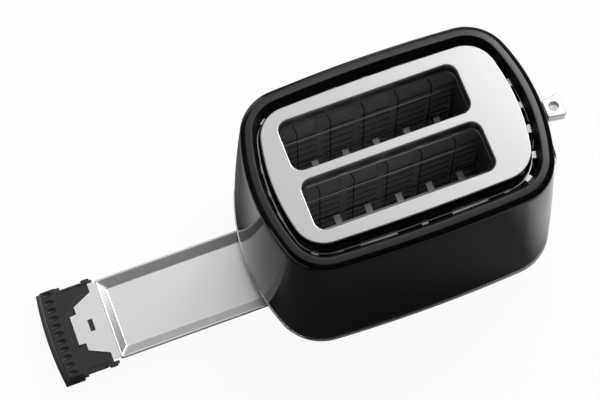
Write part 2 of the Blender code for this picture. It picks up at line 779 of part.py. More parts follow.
def vent_cutters():
    """Slots in the groove's floor that follow the skirt's foot, the same in all four quarters."""
    points = quarter_points(SKIRT_FOOT)
    length = sum(math.dist(a, b) for a, b in zip(points, points[1:]))
    vents = [(length - place, size, 2) for place, size in zip(SIDE_VENT_PLACES, SIDE_VENT_LENGTHS)]
    vents += [(place, size, 2) for place, size in zip(END_VENT_PLACES, END_VENT_LENGTHS)]
    gap_start = END_VENT_PLACES[-1] + END_VENT_LENGTHS[-1] / 2
    gap_end = length - SIDE_VENT_PLACES[-1] - SIDE_VENT_LENGTHS[-1] / 2
    vents.append(((gap_start + gap_end) / 2, CORNER_VENT_LENGTH, CORNER_VENT_POINTS))
    cutters = []
    for middle, size, count in vents:
        spots = [along_quarter(SKIRT_FOOT, middle - size / 2 + size * i / (count - 1)) for i in range(count)]
        inner = [(x + nx * VENT_INNER, y + ny * VENT_INNER) for x, y, nx, ny in spots]
        outer = [(x + nx * VENT_OUTER, y + ny * VENT_OUTER) for x, y, nx, ny in reversed(spots)]
        for sign_x, sign_y in ((1, 1), (-1, 1), (-1, -1), (1, -1)):
            ring = [(sign_x * x, sign_y * y) for x, y in inner + outer]
            cutters.append(prism("vent", ring, CHASSIS_UNDERSIDE - OVERRUN, GROOVE_FLOOR + OVERRUN))
    return cutters


def slot_ring(side, growth):
    return rounded_rectangle(
        SLOT_SHIFT,
        side * SLOT_Y,
        SLOT_LENGTH / 2 + growth,
        SLOT_WIDTH / 2 + growth,
        SLOT_CORNER + growth,
        SLOT_CORNER_STEPS,
    )


def make_chassis_top():
    """The sheet at the bottom of the groove, with the vents and the openings under the slots."""
    edge = grown(RIM, RIM_WALL / 2 - RIM_WIDTH)
    sheet = prism("chassis_top", outline_points(edge), CHASSIS_UNDERSIDE, GROOVE_FLOOR)
    centre_gap = SLOT_INNER_Y - SLOT_ROLL
    room = min(COLLAR_WALL + COLLAR_ROOM, centre_gap)
    openings = [
        prism("opening", slot_ring(side, room), CHASSIS_UNDERSIDE - OVERRUN, GROOVE_FLOOR + OVERRUN)
        for side, _ in SIDE_NAMES
    ]
    return finished(cut(sheet, *openings, *vent_cutters()), ZINC_SHEET)


def make_skirt():
    foot = GROOVE_FLOOR + CLEARANCE
    height = PLATE_BOTTOM - CLEARANCE - foot
    outside = [(blended(PLATE, SKIRT_FOOT, flare), foot + rise * height) for flare, rise in SKIRT_STEP_SHARES]
    inside = [(grown(outline, -SKIRT_WALL), z) for outline, z in reversed(outside)]
    rings = [at_height(outline_points(outline), z) for outline, z in outside + inside]
    return finished(loft("plate_skirt", rings, looped=True), SATIN_BLACK)


def make_plate():
    """The metal plate: a rounded edge, two slots with rolled lips, and a collar under each slot."""
    rings = [
        at_height(outline_points(grown(PLATE, -inset * PLATE_SHEET)), PLATE_BOTTOM + rise * PLATE_SHEET)
        for inset, rise in PLATE_EDGE_SHARES
    ]
    plate = loft("top_plate", rings)
    middle = (PLATE_BOTTOM + PLATE_TOP) / 2
    collars = [
        prism("collar", slot_ring(side, COLLAR_WALL), PLATE_TOP - COLLAR_DEPTH, middle) for side, _ in SIDE_NAMES
    ]
    joined(plate, *collars)
    flare_start = PLATE_TOP - SLOT_ROLL
    levels = (
        (0.0, PLATE_TOP - COLLAR_DEPTH - OVERRUN),
        (0.0, flare_start),
        (SLOT_ROLL / 3, PLATE_TOP - SLOT_ROLL / 3),
        (SLOT_ROLL, PLATE_TOP),
        (SLOT_ROLL, PLATE_TOP + OVERRUN),
    )
    slots = [
        loft("slot", [at_height(slot_ring(side, growth), z) for growth, z in levels]) for side, _ in SIDE_NAMES
    ]
    return finished(cut(plate, *slots), SATIN_METAL)


def make_feet():
    places = [(x, y) for x in (-FOOT_X, FOOT_X) for y in (-FOOT_Y, FOOT_Y)]
    for number, (x, y) in enumerate(places, 1):
        foot = rod(f"foot_{number}", x, y, FOOT_RADIUS, -FOOT_HEIGHT, -CLEARANCE, "z", 16)
        web_bottom = -CLEARANCE - FOOT_WEB
        tools = (
            rod("bore", x, y, FOOT_BORE, -FOOT_HEIGHT - OVERRUN, web_bottom, "z"),
            rod("hole", x, y, SCREW_RADIUS + CLEARANCE, web_bottom - OVERRUN, OVERRUN, "z", 8),
        )
        finished(cut(foot, *tools), RUBBER)
        head_top = web_bottom - CLEARANCE
        head = rod(f"foot_screw_{number}", x, y, SCREW_HEAD_RADIUS, head_top - SCREW_HEAD_HEIGHT, head_top, "z")
        shank = rod("shank", x, y, SCREW_RADIUS, head_top - SCREW_HEAD_HEIGHT / 2, SCREW_TOP, "z", 8)
        finished(joined(head, shank), ZINC_SHEET)


def make_gland():
    """A round bush through the rear wall of the base, with a flange outside and an open bore."""
    outline = grown(TRIM, -BASE_WALL_INSET)
    nearest_x = GLAND_X - GLAND_FLANGE_RADIUS
    wall = outline.half_y - outline.side_radius + math.sqrt(outline.side_radius**2 - nearest_x**2)
    outside = wall + CLEARANCE
    gland = rod("cable_gland", GLAND_X, GLAND_Z, GLAND_RADIUS, wall - BASE_WALL - GLAND_FLANGE, outside + GLAND_NOSE, "y")
    flange = rod("flange", GLAND_X, GLAND_Z, GLAND_FLANGE_RADIUS, outside, outside + GLAND_FLANGE, "y")
    joined(gland, flange)
    bore = rod("bore", GLAND_X, GLAND_Z, GLAND_BORE, wall - BASE_WALL - GLAND_FLANGE - OVERRUN, TRIM.half_y, "y")
    return finished(cut(gland, bore), SATIN_BLACK)


def tray_ring(inset_front, inset_rear, inset_side, height):
    """A rectangle with small corners round the pan, as it lies when drawn out."""
    front = TRAY_PAN_CLOSED - TRAY_TRAVEL + inset_front
    rear = TRAY_REAR_CLOSED - TRAY_TRAVEL - inset_rear
    half_y = TRAY_HALF_Y - inset_side
    middle = (front + rear) / 2
    return at_height(rounded_rectangle(middle, 0.0, (rear - front) / 2, half_y, TRAY_CORNER, 2), height)


def make_tray(joint):
    lip_under = TRAY_LIP_TOP - TRAY_SHEET
    floor_under = TRAY_FLOOR_TOP - TRAY_SHEET
    rings = [
        tray_ring(TRAY_LIP + TRAY_END_SLOPE, TRAY_LIP + TRAY_END_SLOPE, TRAY_LIP + TRAY_SIDE_SLOPE, TRAY_FLOOR_TOP),
        tray_ring(TRAY_LIP, TRAY_LIP, TRAY_LIP, TRAY_LIP_TOP),
        tray_ring(0.0, 0.0, 0.0, TRAY_LIP_TOP),
        tray_ring(0.0, 0.0, 0.0, lip_under),
        tray_ring(TRAY_LIP - TRAY_SHEET, TRAY_LIP - TRAY_SHEET, TRAY_LIP - TRAY_SHEET, lip_under),
        tray_ring(TRAY_LIP + TRAY_END_SLOPE, TRAY_LIP + TRAY_END_SLOPE, TRAY_LIP + TRAY_SIDE_SLOPE, floor_under),
    ]
    tray = loft("crumb_tray", rings)
    root, neck, tip = (x - TRAY_TRAVEL for x in (FLANGE_ROOT_CLOSED, FLANGE_NECK_CLOSED, FLANGE_TIP_CLOSED))
    inside = TRAY_PAN_CLOSED - TRAY_TRAVEL + TRAY_LIP / 2
    half = [
        (inside, FLANGE_ROOT_HALF_Y),
        (root, FLANGE_ROOT_HALF_Y),
        (root, FLANGE_SHOULDER_HALF_Y),
        (neck, FLANGE_NECK_HALF_Y),
        (neck, FLANGE_NOTCH_HALF_Y),
        (tip, FLANGE_TIP_HALF_Y),
    ]
    tongue = prism("tongue", half + [(x, -y) for x, y in reversed(half)], lip_under, TRAY_LIP_TOP)
    joined(tray, tongue)
    hole_x = FLANGE_HOLE_CENTRE_CLOSED - TRAY_TRAVEL
    hole = block(
        "hole",
        (hole_x - FLANGE_HOLE_LENGTH / 2, -FLANGE_HOLE_WIDTH / 2, lip_under - OVERRUN),
        (hole_x + FLANGE_HOLE_LENGTH / 2, FLANGE_HOLE_WIDTH / 2, TRAY_LIP_TOP + OVERRUN),
    )
    return finished(cut(tray, hole), ZINC_SHEET, joint)


def make_handle(joint):
    """A bar bowed outwards, with finger ovals, grooves that clear the runners, and a frame under the tray's tongue."""
    front = HANDLE_FRONT_CLOSED - TRAY_TRAVEL
    inner = HANDLE_INNER_CLOSED - TRAY_TRAVEL
    bow = []
    for step in range(HANDLE_BOW_STEPS + 1):
        share = 2 * step / HANDLE_BOW_STEPS - 1
        bow.append((front + HANDLE_BOW * share**2, -share * HANDLE_HALF_Y))
    outline = [(inner, HANDLE_HALF_Y)] + bow + [(inner, -HANDLE_HALF_Y)]

    def shrunk(by):
        return [(min(max(x, front + by + HANDLE_BOW * (y / HANDLE_HALF_Y) ** 2), inner), y * (1 - by / HANDLE_HALF_Y)) for x, y in outline]

    bar = loft(
        "tray_handle",
        [
            at_height(shrunk(HANDLE_EDGE), HANDLE_BOTTOM),
            at_height(outline, HANDLE_BOTTOM + HANDLE_EDGE),
            at_height(outline, HANDLE_TOP - HANDLE_EDGE),
            at_height(shrunk(HANDLE_EDGE), HANDLE_TOP),
        ],
    )
    wing_end = HANDLE_WING_END_CLOSED - TRAY_TRAVEL
    root = FLANGE_ROOT_CLOSED - TRAY_TRAVEL
    frame = block(
        "frame",
        (inner - OVERRUN, -HANDLE_FRAME_HALF_Y, HANDLE_FRAME_BOTTOM),
        (wing_end, HANDLE_FRAME_HALF_Y, HANDLE_FRAME_TOP),
    )
    wing_root = block(
        "wing_root",
        (inner - OVERRUN, -HANDLE_WING_HALF_Y, HANDLE_FRAME_BOTTOM),
        (root, HANDLE_WING_HALF_Y, HANDLE_FRAME_TOP),
    )
    clips = []
    for side in (-1, 1):
        inside = TRAY_HALF_Y + CLEARANCE
        edges = sorted((side * inside, side * (inside + HANDLE_CLIP_WIDTH)))
        clips.append(
            block(
                "clip",
                (wing_end - OVERRUN, edges[0], HANDLE_FRAME_BOTTOM),
                (HANDLE_CLIP_END_CLOSED - TRAY_TRAVEL, edges[1], TRAY_LIP_TOP),
            )
        )
    joined(bar, frame, wing_root, *clips)
    groove_half = RUNNER_WIDTH / 2 + RAIL_ROOM
    grooves = [
        block(
            "groove",
            (RUNNER_FRONT - CLEARANCE - TRAY_TRAVEL, side * RUNNER_HALF_GAP - groove_half, HANDLE_BOTTOM - OVERRUN),
            (inner + OVERRUN, side * RUNNER_HALF_GAP + groove_half, RUNNER_TOP + CLEARANCE),
        )
        for side in (-1, 1)
    ]
    ovals = []
    oval_x = front + OVAL_FRONT_MARGIN + OVAL_LENGTH / 2
    for number in range(OVAL_COUNT):
        y = (number - (OVAL_COUNT - 1) / 2) * OVAL_PITCH
        shift = HANDLE_BOW / 2 * (y / HANDLE_HALF_Y) ** 2
        ring = [
            (oval_x + shift + a * OVAL_LENGTH / 2, y + b * OVAL_WIDTH / 2)
            for a, b in circle_points(0.0, 0.0, 1.0, OVAL_SIDES)
        ]
        ovals.append(prism("oval", ring, HANDLE_TOP - OVAL_DEPTH, HANDLE_TOP + OVERRUN))
    return finished(cut(bar, *ovals, *grooves), SATIN_BLACK, joint)


def make_end_plates():
    """Sheets with two legs each, slotted for the racks that run through them."""
    top = CHASSIS_UNDERSIDE - CLEARANCE
    foot = BASE_FLOOR + CLEARANCE
    leg = END_PLATE_HALF_Y - END_PLATE_LEG
    half = [(END_PLATE_HALF_Y, top), (END_PLATE_HALF_Y, foot), (leg, foot), (leg, END_PLATE_SILL)]
    outline = half + [(-y, z) for y, z in reversed(half)]
    places = (("end_plate_left", CHAMBER_LEFT - END_PLATE_SHEET), ("end_plate_right", CHAMBER_RIGHT))
    for name, x in places:
        plate = prism(name, outline, x, x + END_PLATE_SHEET, "x")
        half_width = RACK_SHEET / 2 + RACK_SLOT_ROOM
        slots = [
            block(
                "rack_slot",
                (x - OVERRUN, side * RACK_Y - half_width, RACK_UNDERSIDE - LIFT_TRAVEL - RACK_SLOT_ROOM),
                (x + END_PLATE_SHEET + OVERRUN, side * RACK_Y + half_width, RACK_TOP + RACK_SLOT_ROOM),
            )
            for side, _ in SIDE_NAMES
        ]
        finished(cut(plate, *slots), ZINC_SHEET)


def chamber_sheet(name, y, thickness, bottom, top, finish):
    """A sheet that spans the chamber between its end plates."""
    low = (CHAMBER_LEFT + CLEARANCE, y - thickness / 2, bottom)
    high = (CHAMBER_RIGHT - CLEARANCE, y + thickness / 2, top)
    return finished(block(name, low, high), finish)


def make_heaters():
    for side, word in SIDE_NAMES:
        inner = side * (HEATER_INNER_HALF_GAP + HEATER_SHEET / 2)
        outer = side * (SLOT_OUTER_Y + HEATER_OUTER_SETBACK + HEATER_SHEET / 2)
        shield = outer + side * (HEATER_SHEET / 2 + SHIELD_SETBACK)
        chamber_sheet(f"heater_{word}_inner", inner, HEATER_SHEET, HEATER_BOTTOM, HEATER_TOP, MICA)
        chamber_sheet(f"heater_{word}_outer", outer, HEATER_SHEET, HEATER_BOTTOM, HEATER_TOP, MICA)
        chamber_sheet(f"heat_shield_{word}", shield, SHIELD_SHEET, HEATER_BOTTOM, HEATER_TOP, ZINC_SHEET)


def bars_to_cells(centres, width):
    """The edges of a row of bars and the gaps between them, and which cells are bars."""
    edges = []
    for centre in centres:
        edges += [centre - width / 2, centre + width / 2]
    return edges, [index % 2 == 0 for index in range(len(edges) - 1)]


def lattice(name, x_centres, z_centres, wire, y):
    """A flat grid of square wires as one closed body."""
    x_edges, x_bars = bars_to_cells(x_centres, wire)
    z_edges, z_bars = bars_to_cells(z_centres, wire)
    mesh = bmesh.new()
    corners = {}

    def corner(i, k, face_y):
        key = (i, k, face_y)
        if key not in corners:
            corners[key] = mesh.verts.new((x_edges[i], face_y, z_edges[k]))
        return corners[key]

    def solid(i, k):
        inside = 0 <= i < len(x_bars) and 0 <= k < len(z_bars)
        return inside and (x_bars[i] or z_bars[k])

    front, back = y - wire / 2, y + wire / 2
    for i in range(len(x_bars)):
        for k in range(len(z_bars)):
            if not solid(i, k):
                continue
            for face_y in (front, back):
                places = ((i, k), (i + 1, k), (i + 1, k + 1), (i, k + 1))
                mesh.faces.new([corner(a, b, face_y) for a, b in places])
            sides = (((i - 1, k), (i, k), (i, k + 1)), ((i + 1, k), (i + 1, k), (i + 1, k + 1)))
            sides += (((i, k - 1), (i, k), (i + 1, k)), ((i, k + 1), (i, k + 1), (i + 1, k + 1)))
            for neighbour, first, second in sides:
                if not solid(*neighbour):
                    mesh.faces.new(
                        (
                            corner(*first, front),
                            corner(*second, front),
                            corner(*second, back),
                            corner(*first, back),
                        )
                    )
    return built(name, mesh)


def guard_y(side, outer):
    """The middle of a guard's wires at rest, just inside the slot's edge."""
    if outer:
        return side * (SLOT_OUTER_Y - GUARD_INSET - GUARD_WIRE / 2)
    return side * (SLOT_INNER_Y + GUARD_INSET + GUARD_WIRE / 2)


def make_guards():
    first = CHAMBER_LEFT + CLEARANCE + GUARD_WIRE / 2
    last = CHAMBER_RIGHT - CLEARANCE - GUARD_WIRE / 2
    x_centres = [first + (last - first) * i / (GUARD_WIRES - 1) for i in range(GUARD_WIRES)]
    z_centres = [GUARD_BOTTOM + (GUARD_TOP - GUARD_BOTTOM) * share for share in GUARD_LEVEL_SHARES]
    for side, word in SIDE_NAMES:
        for outer, place in ((False, "inner"), (True, "outer")):
            y = guard_y(side, outer)
            joint = joint_at(f"guard_{word}_{place}_slide", (CHAMBER_MIDDLE, y, GUARD_BOTTOM))
            guard = lattice(f"guard_{word}_{place}", x_centres, z_centres, GUARD_WIRE, y)
            finished(guard, SATIN_METAL, joint)


def make_racks(joint):
    """A web through both end plates, with tabs bent out to both sides under the slice."""
    start = CHAMBER_LEFT - END_PLATE_SHEET - RACK_REACH_LEFT
    end = CARRIAGE_X - CLEARANCE
    for side, word in SIDE_NAMES:
        y = side * RACK_Y
        rack = block(
            f"bread_rack_{word}",
            (start, y - RACK_SHEET / 2, RACK_UNDERSIDE),
            (end, y + RACK_SHEET / 2, RACK_TOP),
        )
        tabs = []
        for number in range(RACK_TAB_COUNT):
            x = SLOT_SHIFT + RACK_TAB_SHIFT + (number - (RACK_TAB_COUNT - 1) / 2) * RACK_TAB_PITCH
            tabs.append(
                block(
                    "tab",
                    (x - RACK_TAB_WIDTH / 2, y - RACK_HALF_Y, RACK_TOP - RACK_SHEET),
                    (x + RACK_TAB_WIDTH / 2, y + RACK_HALF_Y, RACK_TOP),
                )
            )
        finished(joined(rack, *tabs), ZINC_SHEET, joint)


def make_carriage(joint):
    """The plate that the racks and the lever meet, with a bush for the rod, an ear for the spring and a shelf."""
    face = CARRIAGE_X + CARRIAGE_SHEET
    plate = block(
        "lift_carriage",
        (CARRIAGE_X, -CARRIAGE_HALF_Y, CARRIAGE_BOTTOM),
        (face, CARRIAGE_HALF_Y, CARRIAGE_TOP),
    )
    root = CARRIAGE_X + CARRIAGE_SHEET / 2
    bush = block(
        "bush",
        (root, ROD_Y - BUSH_HALF, CARRIAGE_BOTTOM),
        (ROD_X + BUSH_HALF, ROD_Y + BUSH_HALF, CARRIAGE_BOTTOM + BUSH_HEIGHT),
    )
    ear = block(
        "ear",
        (root, -ROD_Y - EAR_HALF, ear_top() - EAR_HEIGHT),
        (ROD_X + EAR_HALF, -ROD_Y + EAR_HALF, ear_top()),
    )
    shelf = block(
        "shelf",
        (root, -SHELF_HALF_Y, CARRIAGE_BOTTOM),
        (face + SHELF_REACH, SHELF_HALF_Y, CARRIAGE_BOTTOM + SHELF_SHEET),
    )
    joined(plate, bush, ear, shelf)
    bore = rod(
        "bore",
        ROD_X,
        ROD_Y,
        ROD_RADIUS + BUSH_ROOM,
        CARRIAGE_BOTTOM - OVERRUN,
        CARRIAGE_TOP + OVERRUN,
        "z",
        ROUND_SIDES,
    )
    return finished(cut(plate, bore), ZINC_SHEET, joint)


def ear_top():
    return CARRIAGE_BOTTOM + BUSH_HEIGHT


def catch_centre_x():
    """The middle of the catch under the shelf, above the magnet."""
    return CARRIAGE_X + CARRIAGE_SHEET + SHELF_REACH - CATCH_LENGTH / 2


def magnet_centre_x():
    return catch_centre_x()


def catch_bottom():
    return CARRIAGE_BOTTOM - CLEARANCE - CATCH_SHEET


def magnet_top():
    return catch_bottom() - LIFT_TRAVEL - MAGNET_GAP


def magnet_bottom():
    return magnet_top() - MAGNET_HEIGHT


def make_catch(joint):
    x = catch_centre_x()
    catch = block(
        "catch_plate",
        (x - CATCH_LENGTH / 2, -SHELF_HALF_Y, catch_bottom()),
        (x + CATCH_LENGTH / 2, SHELF_HALF_Y, CARRIAGE_BOTTOM - CLEARANCE),
    )
    return finished(catch, ZINC_SHEET, joint)


def make_magnet():
    x = magnet_centre_x()
    low = (x - MAGNET_HALF_X, -MAGNET_HALF_Y, magnet_bottom())
    high = (x + MAGNET_HALF_X, MAGNET_HALF_Y, magnet_top())
    return finished(block("electromagnet", low, high), COPPER_COIL)


def make_rod_and_spring():
    top = CHASSIS_UNDERSIDE - CLEARANCE
    guide = rod("guide_rod", ROD_X, ROD_Y, ROD_RADIUS, ROD_FOOT, top, "z", ROUND_SIDES)
    finished(guide, CHROME)
    spring = rod("lift_spring", ROD_X, -ROD_Y, SPRING_RADIUS, ear_top() + CLEARANCE, top, "z")
    finished(spring, ZINC_SHEET)


def lever_knob_inner_x():
    """The knob's inner face, just outside the shell where the lever ends its stroke."""
    return shell_end_x(LEVER_KNOB_TOP - LEVER_KNOB_THICKNESS - LIFT_TRAVEL) + KNOB_GAP


def make_lever(joint):
    """The arm from the carriage through the shell, and the flared knob on its end."""
    inner = lever_knob_inner_x()
    arm_start = CARRIAGE_X + CARRIAGE_SHEET + CLEARANCE
    arm_end = inner + ARM_GRIP
    arm = block("lever_arm", (arm_start, -ARM_HALF_Y, ARM_BOTTOM), (arm_end, ARM_HALF_Y, ARM_TOP))
    finished(arm, ZINC_SHEET, joint)
    outer = inner + LEVER_KNOB_LENGTH
    bottom = LEVER_KNOB_TOP - LEVER_KNOB_THICKNESS
    corner = LEVER_KNOB_CORNER
    half = [(inner, LEVER_KNOB_INNER_HALF_Y)]
    for step in range(4):
        angle = math.pi / 2 * (1 - step / 3)
        half.append(
            (
                outer - corner + corner * math.cos(angle),
                LEVER_KNOB_OUTER_HALF_Y - corner + corner * math.sin(angle),
            )
        )
    outline = half + [(x, -y) for x, y in reversed(half)]
    knob = prism("lever_knob", outline, bottom, LEVER_KNOB_TOP)
    dish_x = (inner + outer) / 2
    levels = (
        (LEVER_DISH_RADIUS * math.sqrt(1 / 3), -LEVER_DISH_DEPTH),
        (LEVER_DISH_RADIUS * math.sqrt(2 / 3), -LEVER_DISH_DEPTH * 2 / 3),
        (LEVER_DISH_RADIUS, 0.0),
        (LEVER_DISH_RADIUS, OVERRUN),
    )
    dish = loft(
        "dish",
        [
            at_height(circle_points(dish_x, 0.0, radius, ROUND_SIDES), LEVER_KNOB_TOP + rise)
            for radius, rise in levels
        ],
    )
    pocket = block(
        "pocket",
        (inner - OVERRUN, -ARM_HALF_Y - CLEARANCE, ARM_BOTTOM - CLEARANCE),
        (arm_end + CLEARANCE, ARM_HALF_Y + CLEARANCE, ARM_TOP + CLEARANCE),
    )
    eased(knob, LEVER_KNOB_EDGE)
    return finished(cut(knob, dish, pocket), CHROME, joint)


def make_board():
    """The upright control board behind the +X end, with a column for the buttons' switches."""
    outline = [
        (BOARD_LEFT_Y, BOARD_BOTTOM),
        (BOARD_RIGHT_Y, BOARD_BOTTOM),
        (BOARD_RIGHT_Y, BOARD_TOP),
        (BOARD_COLUMN_Y, BOARD_TOP),
        (BOARD_COLUMN_Y, BOARD_SHOULDER),
        (BOARD_LEFT_Y, BOARD_SHOULDER),
    ]
    finished(prism("control_board", outline, BOARD_X, BOARD_X + BOARD_SHEET, "x"), BOARD_GREEN)
    face = BOARD_X + BOARD_SHEET + CLEARANCE
    pot = block("dial_potentiometer", (face, -POT_HALF, DIAL_Z - POT_HALF), (face + POT_LENGTH, POT_HALF, DIAL_Z + POT_HALF))
    shaft_end = dial_back_x() + DIAL_SHAFT_GRIP
    shaft = rod("shaft", 0.0, DIAL_Z, DIAL_SHAFT_RADIUS, face + POT_LENGTH / 2, shaft_end, "x")
    finished(joined(pot, shaft), SATIN_BLACK)


def dial_back_x():
    return shell_end_x(DIAL_Z - DIAL_RADIUS) + DIAL_GAP


def make_dial():
    """The browning dial: a round knob with a broken edge and a pointer groove, turning about X."""
    back = dial_back_x()
    front = back + DIAL_DEPTH
    joint = joint_at("dial_axis", (back, 0.0, DIAL_Z))
    levels = (
        (DIAL_RADIUS - DIAL_EDGE, back),
        (DIAL_RADIUS, back + DIAL_EDGE),
        (DIAL_RADIUS, front - DIAL_EDGE),
        (DIAL_RADIUS - DIAL_EDGE, front),
    )
    rings = [along_axis(circle_points(0.0, DIAL_Z, radius, 2 * ROUND_SIDES), x, "x") for radius, x in levels]
    dial = loft("browning_dial", rings)
    bore = rod(
        "bore",
        0.0,
        DIAL_Z,
        DIAL_SHAFT_RADIUS + CLEARANCE,
        back - OVERRUN,
        back + DIAL_SHAFT_GRIP + CLEARANCE,
        "x",
    )
    pointer = block(
        "pointer",
        (front - DIAL_POINTER_DEPTH, -DIAL_POINTER_WIDTH / 2, DIAL_Z + DIAL_RADIUS / 3),
        (front + OVERRUN, DIAL_POINTER_WIDTH / 2, DIAL_Z + DIAL_RADIUS + OVERRUN),
    )
    return finished(cut(dial, bore, pointer), CHROME, joint)


def make_buttons():
    """Three round push buttons through the shell, each above its own switch."""
    board_face = BOARD_X + BOARD_SHEET + CLEARANCE
    for number, level in enumerate(BUTTON_LEVELS, 1):
        front = shell_end_x(level, BUTTON_Y) + BUTTON_PROUD
        back = front - BUTTON_LENGTH
        joint = joint_at(f"button_{number}_slide", (back, BUTTON_Y, level))
        levels = (
            (BUTTON_RADIUS, back),
            (BUTTON_RADIUS, front - BUTTON_EDGE),
            (BUTTON_RADIUS - BUTTON_EDGE, front),
        )
        rings = [along_axis(circle_points(BUTTON_Y, level, radius, ROUND_SIDES), x, "x") for radius, x in levels]
        finished(loft(f"push_button_{number}", rings), SATIN_BLACK, joint)
        switch = block(
            f"button_switch_{number}",
            (board_face, BUTTON_Y - SWITCH_HALF_Y, level - SWITCH_HALF_Y),
            (back - BUTTON_TRAVEL - CLEARANCE, BUTTON_Y + SWITCH_HALF_Y, level + SWITCH_HALF_Y),
        )
        finished(switch, SATIN_BLACK)


def main():
    for leftover in list(bpy.data.objects):
        bpy.data.objects.remove(leftover)
    make_base()
    make_trim()
    make_shell()
    make_rim()
    make_chassis_top()
    make_skirt()
    make_plate()
    make_feet()
    make_gland()
    make_end_plates()
    make_heaters()
    make_guards()
    tray_joint = joint_at("tray_slide", (TRAY_REAR_CLOSED - TRAY_TRAVEL, 0.0, TRAY_FLOOR_TOP))
    make_tray(tray_joint)
    make_handle(tray_joint)
    lift_joint = joint_at("lift_slide", (CARRIAGE_X, 0.0, CARRIAGE_BOTTOM))
    make_racks(lift_joint)
    make_carriage(lift_joint)
    make_catch(lift_joint)
    make_lever(lift_joint)
    make_magnet()
    make_rod_and_spring()
    make_board()
    make_dial()
    make_buttons()


main()
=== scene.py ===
"""Two-slot toaster: finer surfaces, wires, ribbons and finishes round the packed frame, in a plain studio."""

import math
from collections import namedtuple

import bmesh
import bpy
from bpy.props import FloatProperty, FloatVectorProperty, IntProperty, PointerProperty
from mathutils import Matrix, Vector


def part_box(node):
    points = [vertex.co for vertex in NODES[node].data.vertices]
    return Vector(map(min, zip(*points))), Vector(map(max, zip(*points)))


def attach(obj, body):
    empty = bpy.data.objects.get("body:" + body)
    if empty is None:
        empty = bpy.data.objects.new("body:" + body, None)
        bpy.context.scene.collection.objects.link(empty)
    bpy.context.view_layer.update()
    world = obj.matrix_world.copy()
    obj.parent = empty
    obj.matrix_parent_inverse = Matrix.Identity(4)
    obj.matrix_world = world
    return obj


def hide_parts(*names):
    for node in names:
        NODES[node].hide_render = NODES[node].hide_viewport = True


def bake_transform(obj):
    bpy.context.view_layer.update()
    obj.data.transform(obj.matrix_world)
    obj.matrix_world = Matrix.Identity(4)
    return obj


bl_info = {
    "name": "Two-slot toaster",
    "version": (1, 0, 0),
    "blender": (4, 5, 0),
    "location": "3D View > Sidebar > Toaster",
    "description": "Builds the toaster's visible pieces, their finishes and a plain studio",
    "category": "Object",
}

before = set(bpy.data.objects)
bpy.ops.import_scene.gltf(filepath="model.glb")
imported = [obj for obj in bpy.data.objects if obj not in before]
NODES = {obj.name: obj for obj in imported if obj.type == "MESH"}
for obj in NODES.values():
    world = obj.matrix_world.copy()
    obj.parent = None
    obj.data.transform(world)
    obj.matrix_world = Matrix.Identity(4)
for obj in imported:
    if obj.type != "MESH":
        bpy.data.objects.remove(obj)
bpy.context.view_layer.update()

Outline = namedtuple("Outline", "half_x half_y end_radius side_radius corner_radius")

# Gaps and overruns that the whole model shares
CLEARANCE = 0.0003
OVERRUN = 0.002

# Curve fineness
QUARTER_STEPS = (10, 20, 10)
ROUND_SIDES = 48
SLOT_CORNER_STEPS = 14

SIDES = ((1, "rear"), (-1, "front"))


# Sizes and colours


def length(name, default, description):
    return FloatProperty(
        name=name, description=description, default=default, unit="LENGTH", subtype="DISTANCE", precision=5
    )


def share(name, default, description, most=1.0):
    return FloatProperty(
        name=name, description=description, default=default, min=0.0, max=most, subtype="FACTOR"
    )


def angle(name, degrees, description):
    return FloatProperty(
        name=name, description=description, default=math.radians(degrees), unit="ROTATION", subtype="ANGLE"
    )


def count(name, default, description):
    return IntProperty(name=name, description=description, default=default, min=1)


def colour(name, default, description):
    return FloatVectorProperty(
        name=name, description=description, default=default, size=3, min=0.0, max=1.0, subtype="COLOR"
    )


def power(name, default, description):
    return FloatProperty(name=name, description=description, default=default, min=0.0, unit="POWER")


class CaseSizes(bpy.types.PropertyGroup):
    """Sizes of the base, the trim, the shell and the top rim."""

    rim_half_length: length("Rim half length", 0.1133, "Half the top rim's length, along the slots")
    rim_half_width: length("Rim half width", 0.0764, "Half the top rim's width")
    trim_half_length: length("Trim half length", 0.1240, "Half the trim ring's length")
    trim_half_width: length("Trim half width", 0.0860, "Half the trim ring's width")
    trim_bottom: length("Trim underside", 0.0232, "Height of the trim ring's underside")
    trim_height: length("Trim height", 0.0040, "Height of the chrome trim ring")
    trim_width: length("Trim width", 0.0038, "Width of the chrome trim ring")
    shell_seam: length("Shell seam", 0.1715, "Height of the seam between the shell and the rim")
    shell_wall: length("Shell wall", 0.0024, "Thickness of the shell's wall")
    shell_bulge: length("Shell bulge", 0.0008, "How far the shell bulges halfway up")
    shell_shoulder: length("Shell shoulder", 0.0016, "Radius of the shell's upper edge")
    rim_width: length("Rim width", 0.0115, "Width of the top rim")
    rim_rise: length("Rim rise", 0.0040, "Height of the rim's crown above the seam")


class PlateSizes(bpy.types.PropertyGroup):
    """Sizes of the metal plate, its slots and the groove round it."""

    top: length("Plate height", 0.1810, "Height of the plate's upper face")
    sheet: length("Plate sheet", 0.0012, "Thickness of the plate's edge")
    end_inset: length("End inset", 0.01705, "How far the plate's end stays behind the rim's")
    side_inset: length("Side inset", 0.0195, "How far the plate's side stays behind the rim's")
    groove_depth: length("Groove depth", 0.0135, "Depth of the groove round the plate")
    slot_length: length("Slot length", 0.1400, "Length of a bread slot")
    slot_width: length("Slot width", 0.0402, "Width of a bread slot")
    slot_bar: length("Middle bar", 0.0087, "Width of the bar between the slots")
    slot_shift: length("Slot shift", -0.0082, "How far the slots stand from the middle, along the case")
    slot_corner: length("Slot corner", 0.0080, "Corner radius of a slot")
    slot_roll: length("Slot lip", 0.0013, "Width of the rolled lip round a slot")
    collar_depth: length("Collar depth", 0.0120, "Depth of the collar under a slot")
    collar_wall: length("Collar wall", 0.0008, "Thickness of the collar under a slot")


